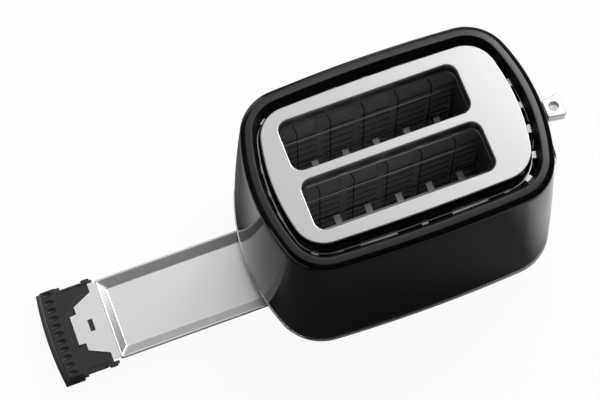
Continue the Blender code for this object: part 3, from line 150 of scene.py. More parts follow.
class TraySizes(bpy.types.PropertyGroup):
    """Sizes of the crumb tray and its handle."""

    travel: length("Travel", 0.1787, "How far the tray is drawn out at rest")
    floor: length("Tray floor", 0.0075, "Height of the tray's floor")
    lip: length("Tray lip", 0.0110, "Height of the tray's lip")
    half_width: length("Tray half width", 0.0347, "Half the tray's width")
    side_slope: length("Side slope", 0.0085, "Width of the slope along the tray's sides")
    end_slope: length("End slope", 0.0068, "Width of the slope at the tray's ends")
    handle_half_width: length("Handle half width", 0.0397, "Half the handle's width")
    handle_top: length("Handle top", 0.0172, "Height of the handle's upper face")
    handle_bow: length("Handle bow", 0.0028, "How far the handle's front is bowed")
    grip_count: count("Grips", 11, "Number of finger ovals")
    grip_pitch: length("Grip pitch", 0.00683, "Distance between the finger ovals")
    grip_depth: length("Grip depth", 0.0014, "Depth of a finger oval")


class ChamberSizes(bpy.types.PropertyGroup):
    """Sizes of the guards, the heating ribbons and the mica strips."""

    wire: length("Guard wire", 0.0008, "Thickness of a guard wire")
    wire_count: count("Guard wires", 5, "Number of upright wires in a guard")
    wire_pitch: length("Guard wire pitch", 0.0272, "Distance between a guard's upright wires")
    rail_count: count("Guard rails", 3, "Number of level wires in a guard")
    guard_bottom: length("Guard bottom", 0.0400, "Height of the lowest level wire")
    guard_step: length("Guard step", 0.0484, "Distance between the level wires")
    hook: length("Guard hook", 0.0045, "How far the hook at a wire's top reaches back")
    ribbon_pitch: length("Ribbon pitch", 0.0123, "Distance between the turns of heating ribbon")
    ribbon_width: length("Ribbon width", 0.0016, "Width of the heating ribbon")
    strip_count: count("Strips", 5, "Number of upright mica strips on a heater board's face")
    strip_pitch: length("Strip pitch", 0.0301, "Distance between the upright mica strips")
    strip_width: length("Strip width", 0.0056, "Width of an upright mica strip")


class ControlSizes(bpy.types.PropertyGroup):
    """Sizes of the lever's knob, the dial and the buttons."""

    knob_top: length("Lever knob top", 0.1390, "Height of the knob's upper face")
    knob_thickness: length("Lever knob thickness", 0.0100, "Thickness of the lever's knob")
    dish_radius: length("Dish radius", 0.0041, "Radius of the dish in the lever's knob")
    dish_depth: length("Dish depth", 0.0024, "Depth of the dish in the lever's knob")
    dial_height: length("Dial height", 0.0450, "Height of the browning dial's axis")
    dial_radius: length("Dial radius", 0.0145, "Radius of the browning dial")
    dial_ribs: count("Dial ribs", 60, "Number of fine ribs round the dial")
    button_radius: length("Button radius", 0.0050, "Radius of a push button")


class Finishes(bpy.types.PropertyGroup):
    """Colours of the finishes."""

    gloss_black: colour("Gloss black", (0.004, 0.004, 0.0042), "The shell, the shoulder and the skirt")
    satin_black: colour("Satin black", (0.014, 0.014, 0.0145), "The plastic of the rim and the buttons")
    handle_black: colour("Handle black", (0.034, 0.034, 0.036), "The handle's plastic")
    base_black: colour("Base black", (0.022, 0.022, 0.023), "The base's plastic")
    satin_metal: colour("Satin metal", (0.575, 0.575, 0.575), "The plate's steel where the light finds it")
    zinc: colour("Zinc sheet", (0.58, 0.585, 0.59), "The inner sheets")
    rack: colour("Rack steel", (0.55, 0.55, 0.55), "The bread racks' steel, dulled by heat")
    tray_metal: colour("Tray metal", (0.95, 0.95, 0.95), "The crumb tray's sheet")
    chrome: colour("Chrome", (0.88, 0.88, 0.89), "The trim, the dial and the guide rod")
    knob_metal: colour("Satin chrome", (0.95, 0.95, 0.95), "The lever's knob")
    wire: colour("Guard wire", (0.85, 0.84, 0.82), "The guards' level wires where they stay bright")
    dark_upright_wire: colour("Dark upright wire", (0.035, 0.034, 0.033), "The guards' upright wire")
    mica: colour("Mica", (0.44, 0.44, 0.44), "The upper part of the heater boards")
    ribbon: colour("Heating ribbon", (0.20, 0.195, 0.19), "The heating ribbon")
    rubber: colour("Rubber", (0.020, 0.020, 0.020), "The feet")
    board: colour("Board lacquer", (0.030, 0.120, 0.055), "The control board's lacquer")
    copper: colour("Copper winding", (0.55, 0.27, 0.14), "The electromagnet's enamelled wire")
    switch_black: colour("Switch black", (0.035, 0.035, 0.038), "The switches' plastic")


class StageSettings(bpy.types.PropertyGroup):
    """The camera, the light and the floor."""

    azimuth: angle("Azimuth", -18.514, "The camera's turn round the toaster")
    elevation: angle("Elevation", 70.347, "The camera's height above the horizon")
    roll: angle("Roll", -2.057, "The camera's roll")
    lens: FloatProperty(name="Lens", description="Focal length, 36 mm sensor", default=120.0, unit="CAMERA")
    floor_drop: length("Floor", -0.0040, "Height of the floor under the feet")
    sky_level: share("Overhead light", 1.02, "Level of the large soft light overhead", 3.0)
    horizon: share("Horizon", 0.80, "Level of the pale band along the horizon", 3.0)
    sky_rest: share("Light elsewhere", 0.20, "Level of the studio's light elsewhere, straight up", 3.0)
    lamp_watts: power("Main lamp", 13.0, "Power of the large lamp")
    strip_watts: power("Strip lamp", 1.3, "Power of the low lamp")
    floor_colour: colour("Floor", (0.21, 0.21, 0.21), "The floor as the light finds it")
    floor_white: share("Floor white", 0.90, "How far the floor shows as plain white")
    mirror_white: share("White in reflections", 0.75, "How much of it shows mirrored past the ends")


PIECE_GROUPS = {
    "toaster_case": CaseSizes,
    "toaster_plate": PlateSizes,
    "toaster_tray": TraySizes,
    "toaster_chamber": ChamberSizes,
    "toaster_controls": ControlSizes,
    "toaster_finishes": Finishes,
    "toaster_stage": StageSettings,
}


# Shader arithmetic


class Value:
    """A shader socket that ordinary arithmetic works on."""

    def __init__(self, recipe, socket):
        self.recipe = recipe
        self.socket = socket

    def _maths(self, operation, *values):
        return self.recipe.node("ShaderNodeMath", {"operation": operation}, dict(enumerate(values)))

    def __add__(self, other):
        return self._maths("ADD", self, other)

    def __radd__(self, other):
        return self._maths("ADD", other, self)

    def __sub__(self, other):
        return self._maths("SUBTRACT", self, other)

    def __rsub__(self, other):
        return self._maths("SUBTRACT", other, self)

    def __mul__(self, other):
        return self._maths("MULTIPLY", self, other)

    def __rmul__(self, other):
        return self._maths("MULTIPLY", other, self)

    def __truediv__(self, other):
        return self._maths("DIVIDE", self, other)

    def over(self, threshold, softness):
        """0 below the threshold, 1 above it, with a soft step between."""
        settings = {"interpolation_type": "SMOOTHSTEP"}
        inputs = {"Value": self, "From Min": threshold - softness, "From Max": threshold + softness}
        return self.recipe.node("ShaderNodeMapRange", settings, inputs)

    def folded(self, period):
        """0 to 1 across each period."""
        return self._maths("FRACT", self / period)

    def largest(self, other):
        return self._maths("MAXIMUM", self, other)

    def size(self):
        return self._maths("ABSOLUTE", self)


class Recipe:
    """Builds the nodes of one material or of the studio's world."""

    def __init__(self, owner):
        owner.use_nodes = True
        self.owner = owner
        self.tree = owner.node_tree
        self.tree.nodes.clear()
        self.place = None

    def node(self, kind, settings=None, inputs=None, output=0):
        """Adds a node: its settings first, then the values or links of its sockets."""
        made = self.tree.nodes.new(kind)
        for name, value in (settings or {}).items():
            if name == "stops":
                ramp = made.color_ramp
                while len(ramp.elements) < len(value):
                    ramp.elements.new(0.5)
                for element, (position, tint) in zip(ramp.elements, value):
                    element.position = position
                    element.color = (*tint, 1.0)
            else:
                setattr(made, name, value)
        for name, value in (inputs or {}).items():
            socket = made.inputs[name]
            if isinstance(value, Value):
                self.tree.links.new(value.socket, socket)
            elif isinstance(value, (tuple, list)) and len(value) == 3 and socket.type == "RGBA":
                socket.default_value = (*value, 1.0)
            else:
                socket.default_value = value
        return Value(self, made.outputs[output])

    def where(self):
        """The point on the object, in metres."""
        if self.place is None:
            self.place = self.node("ShaderNodeTexCoord", output="Object")
        return self.place

    def axis(self, number):
        """One coordinate of that point: 0, 1 or 2 for X, Y or Z."""
        return self.node("ShaderNodeSeparateXYZ", None, {0: self.where()}, output=number)

    def stretched(self, scale, turn=(0.0, 0.0, 0.0)):
        inputs = {"Vector": self.where(), "Scale": scale, "Rotation": turn}
        return self.node("ShaderNodeMapping", None, inputs)

    def noise(self, scale, detail=3.0, roughness=0.55, vector=None):
        inputs = {"Vector": vector or self.where(), "Scale": scale, "Detail": detail, "Roughness": roughness}
        return self.node("ShaderNodeTexNoise", None, inputs)

    def cells(self, scale, output="Distance", settings=None, vector=None):
        inputs = {"Vector": vector or self.where(), "Scale": scale}
        return self.node("ShaderNodeTexVoronoi", settings, inputs, output=output)

    def tint(self, factor, first, second):
        """A colour between two others."""
        settings = {"data_type": "RGBA", "clamp_factor": True}
        made = self.node("ShaderNodeMix", settings, {0: factor}, output=2)
        for number, value in ((6, first), (7, second)):
            socket = made.socket.node.inputs[number]
            if isinstance(value, Value):
                self.tree.links.new(value.socket, socket)
            else:
                socket.default_value = (*value, 1.0)
        return made

    def shades(self, base, factor, depth):
        """A base colour that a factor darkens by up to the given depth and lightens as much."""
        low = tuple(channel * (1.0 - depth) for channel in base)
        high = tuple(min(channel * (1.0 + depth), 1.0) for channel in base)
        return self.tint(factor, low, high)

    def bump(self, height, distance, strength=1.0, normal=None):
        inputs = {"Height": height, "Distance": distance, "Strength": strength}
        if normal is not None:
            inputs["Normal"] = normal
        return self.node("ShaderNodeBump", None, inputs)

    def surface(self, **sockets):
        """The shader and the output. Socket names have underscores for spaces."""
        inputs = {name.replace("_", " "): value for name, value in sockets.items()}
        shader = self.node("ShaderNodeBsdfPrincipled", None, inputs)
        self.node_output(shader)
        return self.owner

    def node_output(self, shader, kind="ShaderNodeOutputMaterial"):
        out = self.tree.nodes.new(kind)
        self.tree.links.new(shader.socket, out.inputs["Surface"])


def recipe_for(name):
    return Recipe(bpy.data.materials.new(name))


def finish(name):
    """A finish by its name, made once."""
    return bpy.data.materials.get(name) or FINISH_MAKERS[name](bpy.context.scene.toaster_finishes)


def gloss_lacquer(colours):
    made = recipe_for("gloss lacquer")
    cloud = made.noise(38.0, 2.0)
    dust = made.noise(5200.0, 2.0).over(0.70, 0.04)
    scratch = made.noise(70.0, 4.0, 0.6, made.stretched((1.0, 1.0, 22.0), (0.35, 0.2, 0.5))).over(0.66, 0.02)
    return made.surface(
        Base_Color=made.tint(dust * 0.10, colours.gloss_black[:], (0.09, 0.09, 0.09)),
        Roughness=0.045 + cloud * 0.035 + scratch * 0.05,
        IOR=1.47,
        Normal=made.bump(made.noise(22.0, 1.0), 0.0002, 0.10),
    )


def satin_plastic(colours):
    made = recipe_for("satin plastic")
    grain = made.noise(2600.0, 2.0)
    cloud = made.noise(45.0, 3.0)
    return made.surface(
        Base_Color=made.shades(colours.satin_black[:], grain * 0.5 + cloud * 0.5, 0.22),
        Roughness=0.30 + cloud * 0.06 + grain * 0.04,
        IOR=1.58,
        Normal=made.bump(grain, 0.00008, 0.35),
    )


def glossy_moulding(colours):
    made = recipe_for("glossy moulding")
    cloud = made.noise(60.0, 3.0)
    return made.surface(
        Base_Color=made.shades(colours.gloss_black[:], cloud, 0.2),
        Roughness=0.10 + cloud * 0.07,
        Normal=made.bump(made.noise(900.0, 2.0), 0.00005, 0.15),
    )


def handle_plastic(colours):
    made = recipe_for("handle plastic")
    grain = made.cells(1900.0)
    cloud = made.noise(70.0, 3.0)
    return made.surface(
        Base_Color=made.shades(colours.handle_black[:], cloud, 0.18),
        Roughness=0.36 + cloud * 0.08 + grain * 0.08,
        Normal=made.bump(grain, 0.00012, 0.35),
    )


def base_plastic(colours):
    made = recipe_for("base plastic")
    grain = made.cells(1400.0)
    cloud = made.noise(50.0, 3.0)
    return made.surface(
        Base_Color=made.shades(colours.base_black[:], cloud, 0.2),
        Roughness=0.44 + cloud * 0.12 + grain * 0.06,
        Normal=made.bump(grain, 0.00014, 0.4),
    )


def plate_steel(colours):
    made = recipe_for("plate steel")
    streak = made.noise(1.0, 4.0, 0.65, made.stretched((14.0, 420.0, 420.0)))
    fine = made.noise(1.0, 3.0, 0.6, made.stretched((90.0, 2600.0, 2600.0)))
    cloud = made.noise(16.0, 2.0)
    sizes = bpy.context.scene.toaster_plate
    height = made.axis(2)
    face = height.over(sizes.top - 0.0030, 0.0012)
    bead = 1 - height.over(sizes.top - sizes.collar_depth + 0.0008, 0.0003)
    metal = made.shades(colours.satin_metal[:], streak * 0.55 + fine * 0.45, 0.05)
    # Painted shade: the collar's wall below the face is dark grey in place of the steel, as the slot's shade
    # falls on it; the bead at its foot keeps the steel's colour.
    collar_painted_shade = (0.30, 0.30, 0.30)
    return made.surface(
        Base_Color=made.tint(face.largest(bead), collar_painted_shade, metal),
        Metallic=1.0,
        Roughness=0.24 + streak * 0.06 + cloud * 0.05,
        Normal=made.bump(fine * 0.6 + streak * 0.4, 0.00004, 0.30),
    )


def zinc_sheet(colours):
    made = recipe_for("zinc sheet")
    spangle = made.cells(170.0, "Color", {"feature": "F1"})
    level = made.node("ShaderNodeSeparateColor", None, {0: spangle})
    cloud = made.noise(30.0, 4.0)
    grain = made.noise(1500.0, 2.0)
    return made.surface(
        Base_Color=made.shades(colours.zinc[:], level * 0.5 + cloud * 0.3 + grain * 0.2, 0.10),
        Metallic=1.0,
        Roughness=0.34 + level * 0.08 + cloud * 0.06,
        Normal=made.bump(grain, 0.00004, 0.25),
    )


def rack_steel(colours):
    made = recipe_for("rack steel")
    cloud = made.noise(120.0, 4.0)
    grain = made.noise(1500.0, 2.0)
    return made.surface(
        Base_Color=made.shades(colours.rack[:], cloud * 0.7 + grain * 0.3, 0.25),
        Metallic=1.0,
        Roughness=0.36 + cloud * 0.14,
        Normal=made.bump(grain, 0.00004, 0.3),
    )


def tray_sheet(colours):
    made = recipe_for("tray sheet")
    grain = made.noise(1300.0, 3.0, 0.7)
    fleck = made.noise(1.0, 3.0, 0.6, made.stretched((260.0, 1400.0, 1400.0)))
    cloud = made.noise(22.0, 3.0)
    return made.surface(
        Base_Color=made.shades(colours.tray_metal[:], grain * 0.6 + fleck * 0.2 + cloud * 0.2, 0.14),
        Metallic=0.92,
        Roughness=0.30 + cloud * 0.05 + grain * 0.05,
        Normal=made.bump(grain * 0.7 + fleck * 0.3, 0.00006, 0.5),
    )


def chrome(colours):
    made = recipe_for("chrome")
    smudge = made.noise(90.0, 4.0, 0.6)
    return made.surface(
        Base_Color=made.shades(colours.chrome[:], made.noise(30.0, 2.0), 0.03),
        Metallic=1.0,
        Roughness=0.05 + smudge * 0.06,
        Normal=made.bump(made.noise(160.0, 2.0), 0.00003, 0.12),
    )


def satin_chrome(colours):
    made = recipe_for("satin chrome")
    grain = made.noise(2400.0, 2.0)
    cloud = made.noise(80.0, 3.0)
    return made.surface(
        Base_Color=made.shades(colours.knob_metal[:], grain * 0.4 + cloud * 0.6, 0.03),
        Metallic=0.5,
        Roughness=0.26 + cloud * 0.05,
        Normal=made.bump(grain, 0.00003, 0.2),
    )


def guard_wire(colours):
    made = recipe_for("guard wire")
    drawn = made.noise(420.0, 3.0)
    # The wire is darker below about 0.118 m and keeps its bright colour above.
    bright = made.axis(2).over(0.118, 0.012)
    lower_wire_tone = made.tint(drawn, (0.05, 0.047, 0.045), (0.10, 0.095, 0.09))
    return made.surface(
        Base_Color=made.tint(bright, lower_wire_tone, made.shades(colours.wire[:], drawn, 0.12)),
        Metallic=1.0,
        Roughness=0.24 + drawn * 0.14,
        Normal=made.bump(drawn, 0.00003, 0.2),
    )


# The guards' upright wires have a plain dark colour.
def dark_upright_wire(colours):
    made = recipe_for("dark upright wire")
    drawn = made.noise(420.0, 3.0)
    return made.surface(
        Base_Color=made.shades(colours.dark_upright_wire[:], drawn, 0.4),
        Metallic=0.7,
        Roughness=0.34 + drawn * 0.2,
        Normal=made.bump(drawn, 0.00003, 0.2),
    )


def mica_board(colours):
    made = recipe_for("mica board")
    flake = made.cells(260.0, "Color", {"feature": "F1"})
    level = made.node("ShaderNodeSeparateColor", None, {0: flake})
    cloud = made.noise(60.0, 4.0)
    grain = made.noise(900.0, 3.0)
    mottle = level * 0.35 + cloud * 0.4 + grain * 0.25
    pale = made.shades((0.80, 0.795, 0.785), mottle, 0.2)
    upper_mica_tone = made.shades(colours.mica[:], mottle, 0.30)
    return made.surface(
        # The boards are paler below about 0.105 m and darker above.
        Base_Color=made.tint(made.axis(2).over(0.105, 0.045), pale, upper_mica_tone),
        Roughness=0.50 + cloud * 0.14,
        Normal=made.bump(level * 0.4 + grain * 0.6, 0.00008, 0.35),
    )


def heating_ribbon(colours):
    made = recipe_for("heating ribbon")
    cloud = made.noise(240.0, 3.0)
    return made.surface(
        Base_Color=made.shades(colours.ribbon[:], cloud, 0.25),
        Metallic=1.0,
        Roughness=0.42 + cloud * 0.15,
        Normal=made.bump(cloud, 0.00003, 0.2),
    )


def rubber(colours):
    made = recipe_for("rubber")
    grain = made.noise(1800.0, 3.0)
    bloom = made.noise(90.0, 3.0)
    return made.surface(
        Base_Color=made.tint(bloom.over(0.58, 0.2) * 0.5, colours.rubber[:], (0.05, 0.05, 0.05)),
        Roughness=0.72 + bloom * 0.15,
        Normal=made.bump(grain, 0.0001, 0.4),
    )


def board_lacquer(colours):
    made = recipe_for("board lacquer")
    across = made.axis(1).folded(0.0062)
    upward = made.axis(2).folded(0.0091)
    traces = (across - 0.5).size().over(0.43, 0.02).largest((upward - 0.5).size().over(0.45, 0.02))
    cloud = made.noise(120.0, 3.0)
    lacquer = made.shades(colours.board[:], cloud, 0.15)
    return made.surface(
        Base_Color=made.tint(traces, lacquer, (0.07, 0.21, 0.10)),
        Roughness=0.28 + cloud * 0.1,
        Normal=made.bump(traces, 0.00008, 0.5),
    )


def copper_winding(colours):
    made = recipe_for("copper winding")
    turn = (made.axis(2).folded(0.0006) - 0.5).size()
    cloud = made.noise(200.0, 3.0)
    return made.surface(
        Base_Color=made.shades(colours.copper[:], turn * 1.4 + cloud * 0.3, 0.30),
        Metallic=1.0,
        Roughness=0.26 + cloud * 0.15,
        Normal=made.bump(1 - turn * 2, 0.00015, 0.8),
    )


def switch_plastic(colours):
    made = recipe_for("switch plastic")
    cloud = made.noise(110.0, 3.0)
    return made.surface(
        Base_Color=made.shades(colours.switch_black[:], cloud, 0.2),
        Roughness=0.38 + cloud * 0.12,
        Normal=made.bump(made.noise(1500.0, 2.0), 0.00006, 0.3),
    )


FINISH_MAKERS = {
    "gloss lacquer": gloss_lacquer,
    "satin plastic": satin_plastic,
    "glossy moulding": glossy_moulding,
    "handle plastic": handle_plastic,
    "base plastic": base_plastic,
    "plate steel": plate_steel,
    "zinc sheet": zinc_sheet,
    "rack steel": rack_steel,
    "tray sheet": tray_sheet,
    "chrome": chrome,
    "satin chrome": satin_chrome,
    "guard wire": guard_wire,
    "dark upright wire": dark_upright_wire,
    "mica board": mica_board,
    "heating ribbon": heating_ribbon,
    "rubber": rubber,
    "board lacquer": board_lacquer,
    "copper winding": copper_winding,
    "switch plastic": switch_plastic,
}


# Shapes


def grown(outline, distance):
    """The outline moved outwards by a distance, or inwards by a negative one."""
    return Outline(*(value + distance for value in outline))


def blended(first, second, part):
    """An outline between two others."""
    return Outline(*(a + (b - a) * part for a, b in zip(first, second)))


def quarter_points(outline):
    """The points from the middle of the +X end to the middle of the +Y side: arc, corner arc, arc."""
    end_centre = outline.half_x - outline.end_radius
    side_centre = outline.half_y - outline.side_radius
    to_end = outline.end_radius - outline.corner_radius
    to_side = outline.side_radius - outline.corner_radius
    apart = math.hypot(end_centre, side_centre)
    along = (to_end**2 - to_side**2 + apart**2) / (2 * apart)
    across = math.sqrt(to_end**2 - along**2)
    unit_x, unit_y = -end_centre / apart, side_centre / apart
    middles = [
        (end_centre + unit_x * along - sign * unit_y * across, unit_y * along + sign * unit_x * across)
        for sign in (1, -1)
    ]
    corner_x, corner_y = max(middles, key=sum)
    low = math.atan2(corner_y, corner_x - end_centre)
    high = math.atan2(corner_y - side_centre, corner_x)
    arcs = (
        (end_centre, 0.0, outline.end_radius, 0.0, low),
        (corner_x, corner_y, outline.corner_radius, low, high),
        (0.0, side_centre, outline.side_radius, high, math.pi / 2),
    )
    points = [(outline.half_x, 0.0)]
    for (x, y, radius, start, end), steps in zip(arcs, QUARTER_STEPS):
        for step in range(1, steps + 1):
            turn = start + (end - start) * step / steps
            points.append((x + radius * math.cos(turn), y + radius * math.sin(turn)))
    return points


def outline_ring(outline, height, shift=0.0):
    """The whole outline at a height, anticlockwise from the middle of the +X end."""
    first = quarter_points(outline)
    second = [(-x, y) for x, y in reversed(first[:-1])]
    third = [(-x, -y) for x, y in first[1:]]
    fourth = [(x, -y) for x, y in reversed(first[1:-1])]
    return [(x + shift, y, height) for x, y in first + second + third + fourth]


def rounded_rectangle(centre_x, centre_y, half_x, half_y, radius, steps):
    points = []
    for quadrant, (sign_x, sign_y) in enumerate(((1, 1), (-1, 1), (-1, -1), (1, -1))):
        for step in range(steps + 1):
            turn = math.pi / 2 * (quadrant + step / steps)
            points.append(
                (
                    centre_x + sign_x * (half_x - radius) + radius * math.cos(turn),
                    centre_y + sign_y * (half_y - radius) + radius * math.sin(turn),
                )
            )
    return points


def rounded_edge(steps, first=1):
    """How far in and how far down a round edge of radius 1 is, from its upright face to its top."""
    turns = [math.pi / 2 * step / steps for step in range(first, steps + 1)]
    return [(1 - math.cos(turn), 1 - math.sin(turn)) for turn in turns]


def circle_points(centre_a, centre_b, radius, sides):
    turns = [2 * math.pi * step / sides for step in range(sides)]
    return [(centre_a + radius * math.cos(t), centre_b + radius * math.sin(t)) for t in turns]


def along_axis(points, place, axis):
    """Puts flat points on the plane at a place along an axis."""
    if axis == "x":
        return [(place, a, b) for a, b in points]
    if axis == "y":
        return [(a, place, b) for a, b in points]
    return [(a, b, place) for a, b in points]


def at_height(points, height):
    return [(x, y, height) for x, y in points]


def flowing(points, steps):
    """A smooth line through points, with that many steps from one to the next."""

    def between(a, b, c, d, t):
        bend = (2 * a - 5 * b + 4 * c - d) * t**2 + (3 * b - a - 3 * c + d) * t**3
        return 0.5 * (2 * b + (c - a) * t + bend)

    line = []
    for i in range(len(points) - 1):
        before = points[max(i - 1, 0)]
        after = points[min(i + 2, len(points) - 1)]
        four = list(zip(before, points[i], points[i + 1], after))
        line += [tuple(between(*each, step / steps) for each in four) for step in range(steps)]
    return line + [tuple(points[-1])]


def linked(name, mesh):
    """Turns a bmesh into a linked object whose faces point out."""
    bmesh.ops.recalc_face_normals(mesh, faces=mesh.faces)
    data = bpy.data.meshes.new(name)
    mesh.to_mesh(data)
    mesh.free()
    piece = bpy.data.objects.new(name, data)
    bpy.context.scene.collection.objects.link(piece)
    return piece


def loft(name, rings, looped=False):
    """A closed skin through rings of equal count, with capped ends or joined round into a loop."""
    mesh = bmesh.new()
    rows = [[mesh.verts.new(point) for point in ring] for ring in rings]
    total = len(rows[0])
    pairs = list(zip(rows, rows[1:]))
    if looped:
        pairs.append((rows[-1], rows[0]))
    else:
        mesh.faces.new(rows[0])
        mesh.faces.new(rows[-1])
    for lower, upper in pairs:
        for i in range(total):
            j = (i + 1) % total
            mesh.faces.new((lower[i], lower[j], upper[j], upper[i]))
    return linked(name, mesh)


def prism(name, points, low, high, axis="z"):
    return loft(name, [along_axis(points, low, axis), along_axis(points, high, axis)])


def block(name, low, high):
    corners = [(low[0], low[1]), (high[0], low[1]), (high[0], high[1]), (low[0], high[1])]
    return prism(name, corners, low[2], high[2])


def rod(name, centre_a, centre_b, radius, low, high, axis, sides=ROUND_SIDES):
    return prism(name, circle_points(centre_a, centre_b, radius, sides), low, high, axis)


def turned(name, profile, centre_a, centre_b, axis="z", looped=False, sides=ROUND_SIDES):
    """A turned piece from (radius, place along the axis) pairs."""
    rings = []
    for radius, place in profile:
        rings.append(along_axis(circle_points(centre_a, centre_b, radius, sides), place, axis))
    return loft(name, rings, looped)


def evaluated(piece):
    """Replaces a piece's mesh by what its modifiers make, and removes them."""
    bpy.context.view_layer.update()
    graph = bpy.context.evaluated_depsgraph_get()
    plain = piece.data
    piece.data = bpy.data.meshes.new_from_object(piece.evaluated_get(graph))
    piece.data.name = piece.name
    piece.modifiers.clear()
    bpy.data.meshes.remove(plain)
    return piece


def combined(piece, tools, operation):
    """Cuts or joins the tools and removes them."""
    for tool in tools:
        modifier = piece.modifiers.new(operation.lower(), "BOOLEAN")
        modifier.operation = operation
        modifier.solver = "EXACT"
        modifier.object = tool
    evaluated(piece)
    for tool in tools:
        bpy.data.objects.remove(tool)
    return piece


def cut(piece, *tools):
    return combined(piece, tools, "DIFFERENCE")


def joined(piece, *tools):
    return combined(piece, tools, "UNION")


def eased(piece, width, segments=3, limit=40.0):
    """Rounds the sharp edges."""
    modifier = piece.modifiers.new("edges", "BEVEL")
    modifier.width = width
    modifier.segments = segments
    modifier.limit_method = "ANGLE"
    modifier.angle_limit = math.radians(limit)
    modifier.harden_normals = False
    return evaluated(piece)


def merged(name, pieces):
    """Several separate bodies as one object."""
    mesh = bmesh.new()
    for piece in pieces:
        mesh.from_mesh(piece.data)
        bpy.data.objects.remove(piece)
    return linked(name, mesh)


def surfaced(piece, finish_name, slot, *nodes, crease=35.0):
    """Gives a piece its finish and shading, and hides the nodes that it stands for."""
    piece.data.materials.clear()
    piece.data.materials.append(finish(finish_name))
    piece.data.shade_smooth()
    piece.data.set_sharp_from_angle(angle=math.radians(crease))
    if nodes:
        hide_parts(*nodes)


def dressed(piece, finish_name, body, slot, *nodes, crease=35.0, flat=False):
    """Surfaces a piece and hangs it on its body. A flat one keeps its large faces' shading level."""
    surfaced(piece, finish_name, slot, *nodes, crease=crease)
    if flat:
        modifier = piece.modifiers.new("normals", "WEIGHTED_NORMAL")
        modifier.keep_sharp = True
        evaluated(piece)
    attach(piece, body)


def refinished(finish_name, *nodes):
    """Gives CAD nodes that stay a better material."""
    for name in nodes:
        node = NODES[name]
        if not node.material_slots:
            node.data.materials.append(None)
        for place in node.material_slots:
            place.material = finish(finish_name)


# Geometry nodes


class Growth:
    """A geometry node tree for what repeats or follows a path."""

    def __init__(self, name):
        self.tree = bpy.data.node_groups.new(name, "GeometryNodeTree")
        self.tree.interface.new_socket("Geometry", in_out="INPUT", socket_type="NodeSocketGeometry")
        self.tree.interface.new_socket("Geometry", in_out="OUTPUT", socket_type="NodeSocketGeometry")
        self.entry = self.tree.nodes.new("NodeGroupInput")
        self.values = {}

    def size(self, name, value, kind="NodeSocketFloat"):
        """A named input of the tree, as a link for the nodes that use it."""
        socket = self.tree.interface.new_socket(name, in_out="INPUT", socket_type=kind)
        self.values[socket.identifier] = value
        return self.entry.outputs[name]

    def geometry(self):
        return self.entry.outputs["Geometry"]

    def node(self, kind, settings=None, inputs=None, output=0):
        made = self.tree.nodes.new(kind)
        for name, value in (settings or {}).items():
            setattr(made, name, value)
        for name, value in (inputs or {}).items():
            for one in value if isinstance(value, list) else [value]:
                if isinstance(one, bpy.types.NodeSocket):
                    self.tree.links.new(one, made.inputs[name])
                else:
                    made.inputs[name].default_value = one
        return made.outputs[output]

    def tube(self, curve, radius, sides=10):
        inputs = {"Resolution": sides, "Radius": radius}
        ring = self.node("GeometryNodeCurvePrimitiveCircle", {"mode": "RADIUS"}, inputs)
        inputs = {"Curve": curve, "Profile Curve": ring, "Fill Caps": True}
        return self.node("GeometryNodeCurveToMesh", None, inputs)

    def row(self, piece, number, offset):
        """A piece repeated along a straight line."""
        line = self.node("GeometryNodeMeshLine", {"mode": "OFFSET"}, {"Count": number, "Offset": offset})
        return self.node("GeometryNodeInstanceOnPoints", None, {"Points": line, "Instance": piece})

    def vector(self, x=0.0, y=0.0, z=0.0):
        return self.node("ShaderNodeCombineXYZ", None, {0: x, 1: y, 2: z})

    def grow(self, piece, parts, finish_name):
        """Ends the tree, runs it on the piece and leaves a plain mesh."""
        joint = self.node("GeometryNodeJoinGeometry", None, {"Geometry": parts})
        real = self.node("GeometryNodeRealizeInstances", None, {"Geometry": joint})
        inputs = {"Geometry": real, "Material": finish(finish_name)}
        painted = self.node("GeometryNodeSetMaterial", None, inputs)
        leave = self.tree.nodes.new("NodeGroupOutput")
        self.tree.links.new(painted, leave.inputs["Geometry"])
        modifier = piece.modifiers.new("growth", "NODES")
        modifier.node_group = self.tree
        for identifier, value in self.values.items():
            modifier[identifier] = value
        return evaluated(piece)


def path_piece(name, points):
    """An open line of points as an object, for a tree to follow."""
    data = bpy.data.meshes.new(name)
    data.from_pydata(points, [(i, i + 1) for i in range(len(points) - 1)], [])
    piece = bpy.data.objects.new(name, data)
    bpy.context.scene.collection.objects.link(piece)
    return piece


# Places and radii that several pieces share


# The outlines' radii, and how the plate and the skirt's foot are shifted and flared
TRIM_RADII = {"end_radius": 0.165, "side_radius": 1.250, "corner_radius": 0.0405}
RIM_RADII = {"end_radius": 0.155, "side_radius": 1.150, "corner_radius": 0.0360}
PLATE_RADII = {"end_radius": 0.160, "side_radius": 2.000, "corner_radius": 0.0240}
PLATE_SHIFT = -0.00105
FOOT_END_FLARE, FOOT_SIDE_FLARE, FOOT_SHIFT = 0.0015, 0.0034, -0.0016
TRIM_EDGE = 0.0006

# The toasting chamber's ends and the control board's face
CHAMBER_LEFT, CHAMBER_RIGHT = -0.0842, 0.0668
BOARD_X = 0.0985

# The lever's arm and its way, the dial's shaft and the buttons
ARM_BOTTOM, ARM_TOP, ARM_HALF = 0.1308, 0.1352, 0.0025
LIFT_TRAVEL = 0.0650
LEVER_ROOM = 0.0035
DIAL_BORE = 0.0033
BUTTON_Y = 0.0260
BUTTON_LEVELS = (0.0560, 0.0710, 0.0860)

# The feet and the cord's outlet
FOOT_PLACES = [(x, y) for x in (-0.0920, 0.0920) for y in (-0.0510, 0.0510)]
CORD_X, CORD_Z = 0.0700, 0.0105

